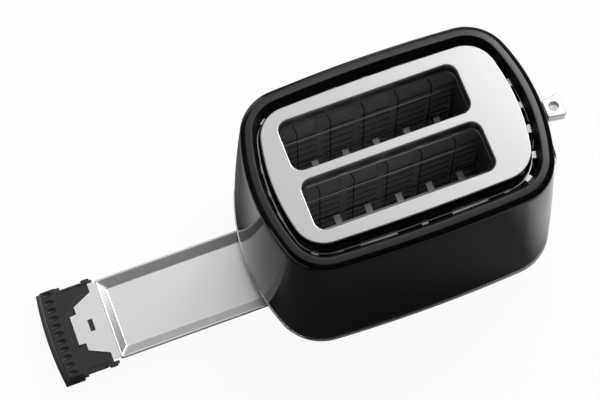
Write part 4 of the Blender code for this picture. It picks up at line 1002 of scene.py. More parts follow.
# The crumb tray, with its places as they are when it is shut, and the runners under it
TRAY_SHEET = 0.0006
TRAY_REAR_CLOSED = 0.0790
TONGUE_ROOT_CLOSED = -0.0698
LEDGE_CLOSED = -0.0920
RUNNER_FRONT, RUNNER_GAP, RUNNER_HALF = -0.1120, 0.0200, 0.0010


def trim_outline(case):
    return Outline(case.trim_half_length, case.trim_half_width, **TRIM_RADII)


def rim_outline(case):
    return Outline(case.rim_half_length, case.rim_half_width, **RIM_RADII)


def plate_outline(case, plate):
    rim = rim_outline(case)
    return Outline(rim.half_x - plate.end_inset, rim.half_y - plate.side_inset, **PLATE_RADII)


def skirt_foot(case, plate):
    top = plate_outline(case, plate)
    return Outline(
        top.half_x + FOOT_END_FLARE,
        top.half_y + FOOT_SIDE_FLARE,
        top.end_radius + FOOT_END_FLARE,
        top.side_radius + FOOT_SIDE_FLARE,
        top.corner_radius + (FOOT_END_FLARE + FOOT_SIDE_FLARE) / 2,
    )


def shell_outline(case, height):
    """The shell's outside at a height, with its slight bulge."""
    bottom = case.trim_bottom + case.trim_height + CLEARANCE
    top = case.shell_seam - CLEARANCE
    part = (height - bottom) / (top - bottom)
    plain = blended(grown(trim_outline(case), -TRIM_EDGE), rim_outline(case), part)
    return grown(plain, case.shell_bulge * 4 * part * (1 - part))


# Case


def make_base(scene):
    """The bowl of the base with its runners, rails, bosses and posts, and the panel's groove underneath."""
    case, tray = scene.toaster_case, scene.toaster_tray
    trim = trim_outline(case)
    top = case.trim_bottom - CLEARANCE
    outer = (
        (0.0, 0.0100),
        (0.0005, 0.0091),
        (0.0012, 0.0084),
        (0.0020, 0.0080),
        (0.0110, 0.0080),
        (0.0188, 0.0080),
        (0.0192, 0.0076),
        (0.0200, 0.0020),
        (0.0203, 0.0016),
        (top, 0.0016),
    )
    inner = ((top, 0.0044), (0.0212, 0.0044), (0.0194, 0.0104), (0.0030, 0.0104), (0.0024, 0.0110))
    base = loft("base_bowl", [outline_ring(grown(trim, -inset), z) for z, inset in outer + inner])
    sunk, boss_top, rail_top, rail_width = 0.0012, 0.0120, 0.0125, 0.0020
    runner_top = tray.floor - TRAY_SHEET - CLEARANCE
    additions = [rod("boss", x, y, 0.0042, sunk, boss_top, "z", 24) for x, y in FOOT_PLACES]
    for side in (-1, 1):
        y = side * RUNNER_GAP
        low = (RUNNER_FRONT, y - RUNNER_HALF, sunk)
        additions.append(block("runner", low, (TRAY_REAR_CLOSED, y + RUNNER_HALF, runner_top)))
        for start, end, inside in ((-0.0900, -0.0620, 0.0390), (-0.0600, TRAY_REAR_CLOSED, 0.0353)):
            edges = sorted((side * inside, side * (inside + rail_width)))
            additions.append(block("rail", (start, edges[0], sunk), (end, edges[1], rail_top)))
    additions.append(block("stop", (0.0793, -0.0300, sunk), (0.0813, 0.0300, 0.0084)))
    pedestal_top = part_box("electromagnet")[0].z - CLEARANCE
    additions.append(block("pedestal", (0.0845, -0.0090, sunk), (0.0955, 0.0090, pedestal_top)))
    additions.append(block("rod_boss", (0.0800, 0.0085, sunk), (0.0910, 0.0195, 0.0057)))
    for y in (-0.0260, 0.0360):
        additions.append(block("post", (0.0972, y - 0.0020, sunk), (0.1012, y + 0.0020, 0.0237)))
    room = 0.0008
    half = tray.handle_half_width + room
    opening = block("opening", (-trim.half_x, -half, 0.0024), (LEDGE_CLOSED, half, tray.handle_top + room))
    gland = rod("gland_hole", CORD_X, CORD_Z, 0.0059, trim.half_y / 2, trim.half_y, "y")
    joined(cut(base, opening, gland), *additions)
    holes = [rod("hole", x, y, 0.0018, -OVERRUN, 0.0160, "z", 16) for x, y in FOOT_PLACES]
    wide, deep = 0.0016, 0.0006
    rings = [
        at_height(rounded_rectangle(0.0, 0.0, 0.0420 - inset, 0.0270 - inset, 0.0050 - inset, 8), z)
        for inset, z in ((0.0, -OVERRUN), (0.0, deep), (wide, deep), (wide, -OVERRUN))
    ]
    cut(base, *holes, loft("groove", rings, looped=True))
    dressed(base, "base plastic", "housing", "base_black", "base_plate")


def make_trim(scene):
    """The chrome ring round the foot of the shell, rounded outside."""
    case = scene.toaster_case
    bottom, top = case.trim_bottom, case.trim_bottom + case.trim_height
    radius = 0.0019
    section = [(radius * out, bottom + radius * up) for up, out in rounded_edge(6, 0)]
    section += [(inset, bottom + top - z) for inset, z in reversed(section)]
    section += [(case.trim_width, top), (case.trim_width, bottom)]
    rings = [outline_ring(grown(trim_outline(case), -inset), z) for inset, z in section]
    trim = loft("trim_ring", rings, looped=True)
    dressed(trim, "chrome", "housing", "chrome", "base_trim")


def make_shell(scene):
    """The flared shell with a rounded shoulder, and its openings for the lever, the dial and the buttons."""
    case, controls = scene.toaster_case, scene.toaster_controls
    bottom = case.trim_bottom + case.trim_height + CLEARANCE
    top = case.shell_seam - CLEARANCE
    shoulder = case.shell_shoulder
    levels, inner_levels = 24, 6
    foot = bottom + 0.0008
    outer = [(bottom, 0.0006), (bottom + 0.0003, 0.0002), (foot, 0.0)]
    outer += [(foot + (top - shoulder - foot) * i / levels, 0.0) for i in range(1, levels + 1)]
    outer += [(top - shoulder * down, shoulder * inward) for inward, down in rounded_edge(6)]
    inner = [(top - (top - bottom) * i / inner_levels, case.shell_wall) for i in range(inner_levels + 1)]
    rings = [outline_ring(grown(shell_outline(case, z), -inset), z) for z, inset in outer + inner]
    shell = loft("shell", rings, looped=True)
    near, far = BOARD_X, case.trim_half_length + OVERRUN
    half = ARM_HALF + 0.0008
    low, high = ARM_BOTTOM - LIFT_TRAVEL - LEVER_ROOM, ARM_TOP + LEVER_ROOM
    tools = [
        block("lever_slot", (near, -half, low), (far, half, high)),
        rod("dial_hole", 0.0, controls.dial_height, DIAL_BORE + 0.0005, near, far, "x"),
    ]
    for level in BUTTON_LEVELS:
        tools.append(rod("button_hole", BUTTON_Y, level, controls.button_radius + CLEARANCE, near, far, "x"))
    dressed(cut(shell, *tools), "gloss lacquer", "housing", "gloss_black", "outer_shell")


def make_rim(scene):
    """The glossy shoulder on the shell's edge, and the satin crown with its wall down into the groove."""
    case, plate = scene.toaster_case, scene.toaster_plate
    seam, width = case.shell_seam, case.rim_width
    foot = plate.top - plate.groove_depth + CLEARANCE
    shoulder = ((0.0, 0.0), (0.004, 0.14), (0.05, 0.36), (0.13, 0.58))
    shoulder += ((0.22, 0.79), (0.30, 0.96), (0.34, 1.03))
    crown = ((0.35, 1.05), (0.38, 1.10), (0.47, 1.14), (0.62, 1.20))
    crown += ((0.76, 1.23), (0.81, 1.20), (0.835, 1.10), (0.85, 0.90))
    section = [(max(part, 0.0) * width, seam + rise * case.rim_rise) for part, rise in flowing(shoulder, 4)]
    inset, height = section[-1]
    section += [(inset, height - 0.0016), (case.shell_wall + 0.0004, seam + 0.0012), (case.shell_wall, seam)]
    top = rim_outline(case)
    roll = loft("shoulder", [outline_ring(grown(top, -inward), z) for inward, z in section], looped=True)
    dressed(roll, "gloss lacquer", "housing", "gloss_black", crease=50.0)
    section = [(grown(top, -part * width), seam + rise * case.rim_rise) for part, rise in flowing(crown, 4)]
    reach_x, reach_y, wall = width + 0.0012, width + 0.0026, 0.0020
    low = Outline(
        top.half_x - reach_x,
        top.half_y - reach_y,
        top.end_radius - reach_x,
        top.side_radius - reach_y,
        top.corner_radius - reach_x - 0.0012,
    )
    section += [
        (low, foot),
        (grown(low, wall), foot),
        (grown(top, wall - width), seam + 0.0016),
        (grown(top, -inset - 0.0004), seam + 0.0016),
        (grown(top, -inset - 0.0001), section[0][1] - 0.0006),
    ]
    rim = loft("rim", [outline_ring(outline, z) for outline, z in section], looped=True)
    dressed(rim, "satin plastic", "housing", "satin_black", "top_rim", crease=50.0)


def make_skirt(scene):
    """The skirt that carries the plate, with a step on the way down to its wider foot."""
    case, plate = scene.toaster_case, scene.toaster_plate
    foot = plate.top - plate.groove_depth + CLEARANCE
    height = plate.top - plate.sheet - CLEARANCE - foot
    top, low = plate_outline(case, plate), skirt_foot(case, plate)
    lower = ((1.0, 0.0), (1.0, 0.04), (0.94, 0.30), (0.90, 0.36), (0.80, 0.40))
    upper = ((0.38, 0.44), (0.27, 0.47), (0.22, 0.53), (0.06, 0.90), (0.0, 1.0))
    outside = []
    for flare, rise in lower + upper:
        shift = PLATE_SHIFT + (FOOT_SHIFT - PLATE_SHIFT) * flare
        outside.append((blended(top, low, flare), foot + rise * height, shift))
    under_step, wall = len(lower) - 1, 0.0020
    inside = [(grown(outside[i][0], -wall), *outside[i][1:]) for i in (-1, under_step, 0)]
    skirt = loft("skirt", [outline_ring(*row) for row in outside + inside], looped=True)
    dressed(skirt, "glossy moulding", "housing", "satin_black", "plate_skirt", crease=50.0)


def along_quarter(points, place):
    """A point and its outward direction at a distance along a quarter, from the end's middle."""
    for (x, y), following in zip(points, points[1:]):
        step_x, step_y = following[0] - x, following[1] - y
        reach = math.hypot(step_x, step_y)
        if place <= reach or following == points[-1]:
            part = place / reach
            return x + step_x * part, y + step_y * part, step_y / reach, -step_x / reach
        place -= reach


def make_groove_floor(scene):
    """The sheet at the bottom of the groove with its vents and the openings under the slots."""
    case, plate = scene.toaster_case, scene.toaster_plate
    low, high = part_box("chassis_top")
    edge = grown(rim_outline(case), 0.0010 - case.rim_width)
    sheet = loft("groove_floor", [outline_ring(edge, low.z), outline_ring(edge, high.z)])
    levels = (low.z - OVERRUN, high.z + OVERRUN)
    room = plate.collar_wall + 0.0012
    openings = [loft("opening", [slot_ring(plate, side, room, z) for z in levels]) for side, _ in SIDES]
    quarter = quarter_points(skirt_foot(case, plate))
    total = sum(math.dist(a, b) for a, b in zip(quarter, quarter[1:]))
    side_vents = [(total - 0.0120, 0.0190), (total - 0.0566, 0.0130), (total - 0.0747, 0.0132)]
    end_vents = [(0.0094, 0.0138), (0.0300, 0.0148)]
    corner_vent = ((total - 0.0813 + 0.0374) / 2, 0.0130)
    near, pieces = 0.0006, 6
    for middle, size in side_vents + end_vents + [corner_vent]:
        spots = [along_quarter(quarter, middle - size / 2 + size * i / pieces) for i in range(pieces + 1)]
        for sign_x, sign_y in ((1, 1), (-1, 1), (-1, -1), (1, -1)):
            far = 0.0034 + 0.0008 * sign_x
            inner = [(x + out_x * near, y + out_y * near) for x, y, out_x, out_y in spots]
            outer = [(x + out_x * far, y + out_y * far) for x, y, out_x, out_y in reversed(spots)]
            ring = [(sign_x * x + FOOT_SHIFT, sign_y * y) for x, y in inner + outer]
            openings.append(prism("vent", ring, *levels))
    dressed(cut(sheet, *openings), "zinc sheet", "housing", "zinc_sheet", "chassis_top")


def slot_ring(plate, side, growth, height):
    middle = side * (plate.slot_bar + plate.slot_width) / 2
    points = rounded_rectangle(
        plate.slot_shift,
        middle,
        plate.slot_length / 2 + growth,
        plate.slot_width / 2 + growth,
        plate.slot_corner + growth,
        SLOT_CORNER_STEPS,
    )
    return at_height(points, height)


def bead_section():
    """The rolled foot of a slot's collar: how far out and up each point is."""
    return circle_points(0.0002, 0.0, 0.0006, 10)


def make_plate(scene):
    """The satin plate: a rolled edge, two slots with rolled lips and a collar under each."""
    case, sizes = scene.toaster_case, scene.toaster_plate
    outline = plate_outline(case, sizes)
    top, bottom = sizes.top, sizes.top - sizes.sheet
    foot, lip = top - sizes.collar_depth, sizes.slot_roll
    roll = sizes.sheet * 0.75
    edge = [(0.0, bottom), (0.0, top - roll)]
    edge += [(roll * inward, top - roll * down) for inward, down in rounded_edge(6)]
    plate = loft("slot_plate", [outline_ring(grown(outline, -inset), z, PLATE_SHIFT) for inset, z in edge])
    bead = [(out, foot + up) for out, up in bead_section()]
    collar = [(sizes.collar_wall, foot), (sizes.collar_wall, (bottom + top) / 2)]
    slot = [(0.0, foot - OVERRUN), (0.0, top - lip)]
    slot += [(lip * outward, top - lip * down) for outward, down in rounded_edge(6)]
    slot.append((lip, top + OVERRUN))

    def at_both(name, section, looped=False):
        """The same section drawn round each slot."""
        slots = [[slot_ring(sizes, side, out, z) for out, z in section] for side, _ in SIDES]
        return [loft(name, rings, looped) for rings in slots]

    beads = at_both("bead", bead, looped=True)
    joined(plate, *at_both("collar", collar))
    joined(cut(plate, *at_both("slot", slot)), *beads)
    dressed(plate, "plate steel", "housing", "satin_metal", "top_plate", crease=50.0, flat=True)


def make_feet(scene):
    """Four rubber feet with a recess for the screw, and the screws with a crossed recess."""
    sole, web, top = -0.0040, -0.0015, -CLEARANCE
    for number, (x, y) in enumerate(FOOT_PLACES, 1):
        profile = (
            (0.0018, top),
            (0.0085, top),
            (0.0085, sole + 0.0008),
            (0.0082, sole + 0.0002),
            (0.0077, sole),
            (0.0047, sole),
            (0.0042, sole + 0.0004),
            (0.0042, web),
            (0.0018, web),
        )
        foot = turned(f"rubber_foot_{number}", profile, x, y, looped=True)
        dressed(foot, "rubber", "housing", "rubber", f"foot_{number}")
        head = web - CLEARANCE
        profile = (
            (0.0015, 0.0140),
            (0.0015, head),
            (0.0036, head),
            (0.0036, head - 0.0006),
            (0.0033, head - 0.0011),
            (0.0024, head - 0.0015),
            (0.0012, head - 0.0016),
        )
        screw = turned(f"foot_bolt_{number}", profile, x, y, sides=32)
        arms = [
            block("arm", (x - long, y - wide, head - 0.0030), (x + long, y + wide, head - 0.0007))
            for long, wide in ((0.0019, 0.0004), (0.0004, 0.0019))
        ]
        dressed(cut(screw, *arms), "zinc sheet", "housing", "zinc_sheet", f"foot_screw_{number}")


def make_gland(scene):
    """The bush in the rear wall, ribbed outside and open for the cord."""
    low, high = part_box("cable_gland")
    near, far = low.y, high.y
    wall = far - 0.0050
    start = wall + 0.0018
    bore, bush, flange = 0.0036, 0.0056, 0.0074
    profile = [(bore, near), (bush, near), (bush, wall), (flange - 0.0004, wall), (flange, wall + 0.0004)]
    profile += [(flange, start - 0.0005), (flange - 0.0005, start), (bush, start)]
    ribs = 3
    for rib in range(ribs):
        low = start + (far - start) * rib / ribs
        high = start + (far - start) * (rib + 1) / ribs
        profile += [(0.0050, low + 0.0002), (0.0050, low + 0.0004)]
        profile += [(bush, low + 0.0005), (0.0055, high - 0.0001)]
    profile += [(0.0048, far), (0.0042, far), (bore, far - 0.0006)]
    gland = turned("cord_bush", profile, CORD_X, CORD_Z, "y", looped=True)
    dressed(gland, "handle plastic", "housing", "satin_black", "cable_gland")


# Crumb tray


def make_tray(scene):
    """The pressed pan with turned lips and creased corners, and the tongue with its hole."""
    sizes = scene.toaster_tray
    front, rear = -0.0638 - sizes.travel, TRAY_REAR_CLOSED - sizes.travel
    sheet, lip = TRAY_SHEET, 0.0012
    corner = 0.0020

    def ring(inset_end, inset_side, height, radius=corner):
        half_x, half_y = (rear - front) / 2 - inset_end, sizes.half_width - inset_side
        return at_height(rounded_rectangle((front + rear) / 2, 0.0, half_x, half_y, radius, 5), height)

    end, side = lip + sizes.end_slope, lip + sizes.side_slope
    drop = sizes.lip - sizes.floor
    inside = []
    for part, bend in ((0.0, 0.0), (0.05, 0.012), (0.12, 0.060), (0.88, 0.940), (0.95, 0.988), (1.0, 1.0)):
        inside.append((lip + sizes.end_slope * part, lip + sizes.side_slope * part, sizes.lip - drop * bend))
    rings = [ring(*row) for row in reversed(inside)]
    for inset, down in ((0.0009, 0.0), (0.0005, 0.0001), (0.0002, 0.0003), (0.0, 0.0009), (0.0, 0.0016)):
        rings.append(ring(inset, inset, sizes.lip - down))
    for inset, down in ((0.0005, 0.0016), (sheet, sheet)):
        rings.append(ring(inset, inset, sizes.lip - down, corner - 0.0002))
    rings += [ring(inset_end, inset_side, z - sheet) for inset_end, inset_side, z in inside[1:]]
    pan = loft("pan", rings)
    root, neck, tip = (x - sizes.travel for x in (TONGUE_ROOT_CLOSED, -0.0858, -0.0914))
    half = [
        (front + lip * 0.4, 0.0330),
        (root, 0.0330),
        (root, 0.0267),
        (neck, 0.0190),
        (neck, 0.0128),
        (tip, 0.0122),
    ]
    tongue = prism("tongue", half + [(x, -y) for x, y in reversed(half)], sizes.lip - sheet, sizes.lip)
    joined(pan, tongue)
    hole_x = -0.0771 - sizes.travel
    hole = block("hole", (hole_x - 0.0020, -0.0050, 0.0), (hole_x + 0.0020, 0.0050, 0.0200))
    cut(pan, hole)
    eased(pan, 0.00012, 2, 60.0)
    dressed(pan, "tray sheet", "tray", "zinc_sheet", "crumb_tray", crease=28.0, flat=True)
    creases = []
    outer_in, inner_in = lip + 0.0016, end - 0.0006
    outer_half, inner_half = sizes.half_width - lip - 0.0018, sizes.half_width - side + 0.0010
    for sign_x, corner_x in ((1, front), (-1, rear)):
        for sign_y in (-1, 1):
            outer = Vector((corner_x + sign_x * outer_in, sign_y * outer_half, sizes.lip - 0.0012))
            inner = Vector((corner_x + sign_x * inner_in, sign_y * inner_half, sizes.floor + 0.0006))
            creases.append(crease_bar(outer, inner))
    dressed(merged("pan_creases", creases), "tray sheet", "tray", "zinc_sheet")


def crease_bar(start, end):
    """A low ridge pressed along a corner of the pan."""
    path = (end - start).normalized()
    across = Vector((-path.y, path.x, 0.0)).normalized()
    over = across.cross(path)
    if over.z < 0:
        over.negate()
    wide, high = 0.0005, 0.00035
    rings = []
    for part in (0.0, 0.12, 0.5, 0.88, 1.0):
        fat = math.sin(math.pi * min(max(part, 0.06), 0.94)) ** 0.5
        centre = start.lerp(end, part)
        circle = circle_points(0.0, 0.0, fat, 12)
        rings.append([centre + across * (wide * a) + over * (high * b) for a, b in circle])
    return loft("crease", rings)


def make_handle(scene):
    """The bowed bar with its finger ovals and fine grooves, and the frame and clips that hold the pan."""
    sizes = scene.toaster_tray
    front, inner = -0.1145 - sizes.travel, -0.0955 - sizes.travel
    ledge, root = LEDGE_CLOSED - sizes.travel, TONGUE_ROOT_CLOSED - sizes.travel
    half = sizes.handle_half_width
    bottom, top = 0.0028, sizes.handle_top

    def bow(y):
        return sizes.handle_bow * (y / half) ** 2

    def bar_ring(by, height, lead=0.0, steps=40):
        reach = half - by - lead * 0.4
        points = [(inner - by * 0.5, reach)]
        for step in range(steps + 1):
            y = reach * (1 - 2 * step / steps)
            points.append((front + by + lead + bow(y), y))
        points.append((inner - by * 0.5, -reach))
        return at_height(points, height)

    edge, lean = 0.0011, 0.0044
    rings = [bar_ring(edge, bottom), bar_ring(edge * 0.3, bottom + edge * 0.3), bar_ring(0.0, bottom + edge)]
    rings += [bar_ring(0.0, 0.0072), bar_ring(0.0002, 0.0084, 0.0008), bar_ring(0.0, 0.0098, 0.0026)]
    rings.append(bar_ring(0.0, top - edge * 1.6, 0.0040))
    rings += [bar_ring(edge * inward, top - edge * down, lean) for inward, down in rounded_edge(4)]
    bar = loft("tray_grip", rings)
    wing_end = -0.0750 - sizes.travel
    frame_low, frame_high = 0.0070, 0.0100
    start = inner - OVERRUN
    steps = ((ledge, half - 0.0012, 0.0128), (wing_end, 0.0370, frame_high), (root, 0.0345, frame_high))
    parts = [block("frame", (start, -wide, frame_low), (end, wide, high)) for end, wide, high in steps]
    inside = sizes.half_width + CLEARANCE
    for side in (-1, 1):
        clip = rounded_rectangle(wing_end + 0.0037, side * (inside + 0.0007), 0.0058, 0.0007, 0.0006, 5)
        parts.append(prism("clip", clip, frame_low, sizes.lip))
        knuckle = rounded_rectangle(wing_end + 0.0042, side * (inside + 0.0016), 0.0036, 0.0015, 0.0013, 6)
        parts.append(prism("knuckle", knuckle, frame_low, sizes.lip + 0.0006))
    joined(bar, *parts)
    groove_half = half - 0.0030
    front_groove = bow_groove(front + 0.0070, groove_half, bow, top - 0.0005, 0.00045)
    cutters = [grip_cutters(sizes, front), front_groove]
    low, high = (inner - 0.0018, -groove_half, top - 0.0004), (inner - 0.0014, groove_half, top + OVERRUN)
    cutters.append(block("inner_groove", low, high))
    runner_room = RUNNER_HALF + 0.0006
    for side in (-1, 1):
        edges = sorted((side * 0.0352, side * 0.0330))
        low = (ledge + 0.0006, edges[0], frame_high - 0.0005)
        high = (root - 0.0052, edges[1], frame_high + OVERRUN)
        cutters.append(block("border", low, high))
        y = side * RUNNER_GAP
        low = (RUNNER_FRONT - CLEARANCE - sizes.travel, y - runner_room, bottom - OVERRUN)
        high = (ledge + OVERRUN, y + runner_room, sizes.floor - TRAY_SHEET)
        cutters.append(block("runner_groove", low, high))
    cut(bar, *cutters)
    dressed(bar, "handle plastic", "tray", "satin_black", "tray_handle", crease=38.0, flat=True)


def bow_groove(front, half, bow, floor, wide, steps=40):
    """A cutter for the fine groove that follows the bar's bow."""
    line = [half * (1 - 2 * step / steps) for step in range(steps + 1)]
    points = [(front + bow(y), y) for y in line] + [(front + bow(y) + wide, y) for y in reversed(line)]
    return prism("bow_groove", points, floor, floor + 0.0050)


def grip_cutters(sizes, front):
    """The cutters of the sunk finger ovals, repeated by a tree along the bar."""
    rings = []
    long, wide, deep = 0.0043, 0.0022, sizes.grip_depth
    bowl = ((0.12, -0.99), (0.35, -0.88), (0.55, -0.70), (0.72, -0.48), (0.87, -0.24), (1.0, 0.0), (1.0, 1.2))
    circle = circle_points(0.0, 0.0, 1.0, 28)
    for size, level in bowl:
        rings.append([(a * long * size, b * wide * size, level * deep) for a, b in circle])
    cutter = loft("grips", rings)
    tree = Growth("Finger ovals")
    number = tree.size("Grips", sizes.grip_count, "NodeSocketInt")
    pitch = tree.size("Pitch", sizes.grip_pitch)
    start = tree.size("First place", -sizes.grip_pitch * (sizes.grip_count - 1) / 2)
    curve = tree.size("Bow", sizes.handle_bow / 2 / sizes.handle_half_width**2)
    middle = tree.size("Middle", front + 0.0109)
    level = tree.size("Level", sizes.handle_top)
    line = tree.node(
        "GeometryNodeMeshLine",
        {"mode": "OFFSET"},
        {"Count": number, "Start Location": tree.vector(y=start), "Offset": tree.vector(y=pitch)},
    )
    where = tree.node("GeometryNodeInputPosition")
    y = tree.node("ShaderNodeSeparateXYZ", None, {0: where}, output=1)
    square = tree.node("ShaderNodeMath", {"operation": "MULTIPLY"}, {0: y, 1: y})
    shift = tree.node("ShaderNodeMath", {"operation": "MULTIPLY_ADD"}, {0: square, 1: curve, 2: middle})
    inputs = {"Geometry": line, "Position": tree.vector(shift, y, level)}
    placed = tree.node("GeometryNodeSetPosition", None, inputs)
    grips = tree.node("GeometryNodeInstanceOnPoints", None, {"Points": placed, "Instance": tree.geometry()})
    return tree.grow(cutter, [grips], "handle plastic")


# Toasting chamber


def make_heaters(scene):
    """Four boards wound with ribbon under upright strips, and the finish of the sheets round them."""
    sizes = scene.toaster_chamber
    refinished("zinc sheet", "heat_shield_front", "heat_shield_rear", "end_plate_left", "end_plate_right")
    for side, word in SIDES:
        for place in ("inner", "outer"):
            node = f"heater_{word}_{place}"
            low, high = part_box(node)
            middle = (low.y + high.y) / 2
            half = (high.y - low.y) / 2
            board = notched_board(f"mica_{word}_{place}", low, high, sizes.ribbon_pitch)
            dressed(board, "mica board", "housing", "mica", node)
            ribbon = wound_ribbon(f"ribbon_{word}_{place}", low, high, middle, half, sizes)
            dressed(ribbon, "heating ribbon", "housing", "coil")
            strips = upright_strips(f"strips_{word}_{place}", low, high, middle, half, sizes)
            dressed(strips, "mica board", "housing", "mica")


def notched_board(name, low, high, pitch):
    """A board whose two upright edges have a notch for each turn of ribbon."""
    margin = 0.010
    deep, wide = 0.0012, 0.0016
    right = [(high.x, low.z)]
    for i in range(int((high.z - low.z - margin) / pitch)):
        z = low.z + 0.006 + i * pitch
        notch = ((0.0, 0.0), (deep, 0.25), (deep, 0.75), (0.0, 1.0))
        right += [(high.x - inward, z + wide * part) for inward, part in notch]
    right.append((high.x, high.z))
    left = [(low.x + high.x - x, z) for x, z in reversed(right)]
    return prism(name, right + left, low.y, high.y, "y")


def wound_ribbon(name, low, high, middle, half, sizes):
    """One sloping turn of flat ribbon, repeated up the board by a tree."""
    pitch, wide = sizes.ribbon_pitch, sizes.ribbon_width / 2
    inset, skin, rise, thick = 0.0011, 0.00022, pitch / 2, 0.00016
    left, right = low.x + inset, high.x - inset
    near, far = middle - half - skin, middle + half + skin
    stations = (
        (left, near, 0.0),
        (right, near, rise),
        (right, far, rise),
        (left, far, 2 * rise),
        (left, near, 2 * rise),
    )
    bottom, margin = low.z + 0.0068, 0.016
    rings = []
    for x, y, z in stations:
        out_x, out_y = math.copysign(thick, x - (left + right) / 2), math.copysign(thick, y - middle)
        lower, upper = bottom + z - wide, bottom + z + wide
        skinward, outward = (x, y), (x + out_x, y + out_y)
        rings.append([(*skinward, lower), (*skinward, upper), (*outward, upper), (*outward, lower)])
    turn = loft(name, rings)
    tree = Growth("Wound ribbon")
    number = tree.size("Turns", int((high.z - low.z - margin) / pitch), "NodeSocketInt")
    step = tree.size("Pitch", pitch)
    return tree.grow(turn, [tree.row(tree.geometry(), number, tree.vector(z=step))], "heating ribbon")


def upright_strips(name, low, high, middle, half, sizes):
    """A strip on each face of the board, with pairs of small holes, repeated along it by a tree."""
    first, margin = -0.0728, 0.001
    thick, proud = 0.0004, 0.00045
    levels = [level + offset for level in (0.058, 0.102, 0.146) for offset in (-0.0050, 0.0050)]
    pieces = []
    for face in (-1, 1):
        near = middle + face * (half + proud)
        back, front = sorted((near, near + face * thick))
        corner = (first + sizes.strip_width / 2, front, high.z - margin)
        strip = block("strip", (first - sizes.strip_width / 2, back, low.z + margin), corner)
        ends = (back - margin, front + margin)
        holes = [rod("hole", first + 0.0002, level, 0.0015, *ends, "y", 20) for level in levels]
        pieces.append(cut(strip, *holes))
    strips = merged(name, pieces)
    tree = Growth("Upright strips")
    number = tree.size("Strips", sizes.strip_count, "NodeSocketInt")
    step = tree.size("Pitch", sizes.strip_pitch)
    return tree.grow(strips, [tree.row(tree.geometry(), number, tree.vector(x=step))], "mica board")


def make_guards(scene):
    """Four guards of round wire: hooked uprights on level wires, each made by one tree."""
    sizes = scene.toaster_chamber
    first = scene.toaster_plate.slot_shift - sizes.wire_pitch * (sizes.wire_count - 1) / 2
    for side, word in SIDES:
        for place in ("inner", "outer"):
            node = f"guard_{word}_{place}"
            low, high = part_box(node)
            y = (low.y + high.y) / 2
            back = side if place == "outer" else -side
            reach = sizes.hook if place == "outer" else min(sizes.hook, abs(y) - 0.0030)
            wires = upright_wires(f"wires_{word}_{place}", first, y, back * reach, high.z - 0.0035, sizes)
            dressed(wires, "dark upright wire", node, "guard_wire", node, crease=60.0)
            rails = level_wires(f"rails_{word}_{place}", y - back * sizes.wire * 0.8, sizes)
            dressed(rails, "guard wire", node, "guard_wire", crease=60.0)


def upright_wires(name, x, y, hook, top, sizes):
    """A wire that bends back in a hook at its top, repeated along the guard by a tree."""
    lean, bend = -0.0018, 0.0015
    upright = [
        (x, y, sizes.guard_bottom - 0.0030),
        (x, y, top - 0.0070),
        (x + lean * 0.3, y + hook * 0.35, top - 0.0042),
        (x + lean, y + hook, top - 0.0008),
    ]
    wires = path_piece(name, upright)
    tree = Growth("Guard uprights")
    radius = tree.size("Wire radius", sizes.wire / 2)
    number = tree.size("Uprights", sizes.wire_count, "NodeSocketInt")
    step = tree.size("Pitch", sizes.wire_pitch)
    line = tree.node("GeometryNodeMeshToCurve", None, {"Mesh": tree.geometry()})
    soft = tree.node("GeometryNodeFilletCurve", None, {"Curve": line, "Radius": bend})
    return tree.grow(wires, [tree.row(tree.tube(soft, radius), number, tree.vector(x=step))], "dark upright wire")


def level_wires(name, y, sizes):
    """A guard's level wires and the upright at each of their ends, by a tree."""
    past, overlap = 0.0010, 0.0004
    first, last = CHAMBER_LEFT + past, CHAMBER_RIGHT - past
    lowest = sizes.guard_bottom
    highest = lowest + sizes.guard_step * (sizes.rail_count - 1)
    rails = path_piece(name, [(first, y, lowest - past), (first, y, highest + past)])
    tree = Growth("Guard rails")
    radius = tree.size("Wire radius", sizes.wire / 2)
    number = tree.size("Rails", sizes.rail_count, "NodeSocketInt")
    rise = tree.size("Rail step", sizes.guard_step)
    width = tree.size("Guard length", last - first)
    start = tree.size("Rail start", (first - overlap, y, lowest), "NodeSocketVector")
    end = tree.size("Rail end", (last + overlap, y, lowest), "NodeSocketVector")
    line = tree.node("GeometryNodeMeshToCurve", None, {"Mesh": tree.geometry()})
    ends = tree.row(tree.tube(line, radius), 2, tree.vector(x=width))
    rail = tree.node("GeometryNodeCurvePrimitiveLine", None, {"Start": start, "End": end})
    levels = tree.row(tree.tube(rail, radius), number, tree.vector(z=rise))
    return tree.grow(rails, [ends, levels], "guard wire")


def make_lift(scene):
    """The coiled spring and the electromagnet, and the finishes of the racks, the carriage and its rod."""
    refinished("rack steel", "bread_rack_front", "bread_rack_rear")
    refinished("zinc sheet", "lift_carriage", "catch_plate", "lever_arm")
    refinished("chrome", "guide_rod")
    make_spring()
    make_magnet()


def make_spring():
    """The spring under the carriage, wound by a tree."""
    low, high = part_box("lift_spring")
    x, y = (low.x + high.x) / 2, (low.y + high.y) / 2
    margin = 0.0006
    spring = path_piece("coil_spring", [(x, y, low.z), (x, y, high.z)])
    tree = Growth("Coiled spring")
    turns = tree.size("Turns", 16.0)
    radius = tree.size("Coil radius", 0.0029)
    wire = tree.size("Wire radius", 0.00045)
    tall = tree.size("Height", high.z - low.z - 2 * margin)
    spiral = tree.node(
        "GeometryNodeCurveSpiral",
        None,
        {"Resolution": 20, "Rotations": turns, "Start Radius": radius, "End Radius": radius, "Height": tall},
    )
    inputs = {"Geometry": tree.tube(spiral, wire, 8), "Translation": (x, y, low.z + margin)}
    tree.grow(spring, [tree.node("GeometryNodeTransform", None, inputs)], "zinc sheet")
    surfaced(spring, "zinc sheet", "zinc_sheet", "lift_spring", crease=60.0)
    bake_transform(spring)


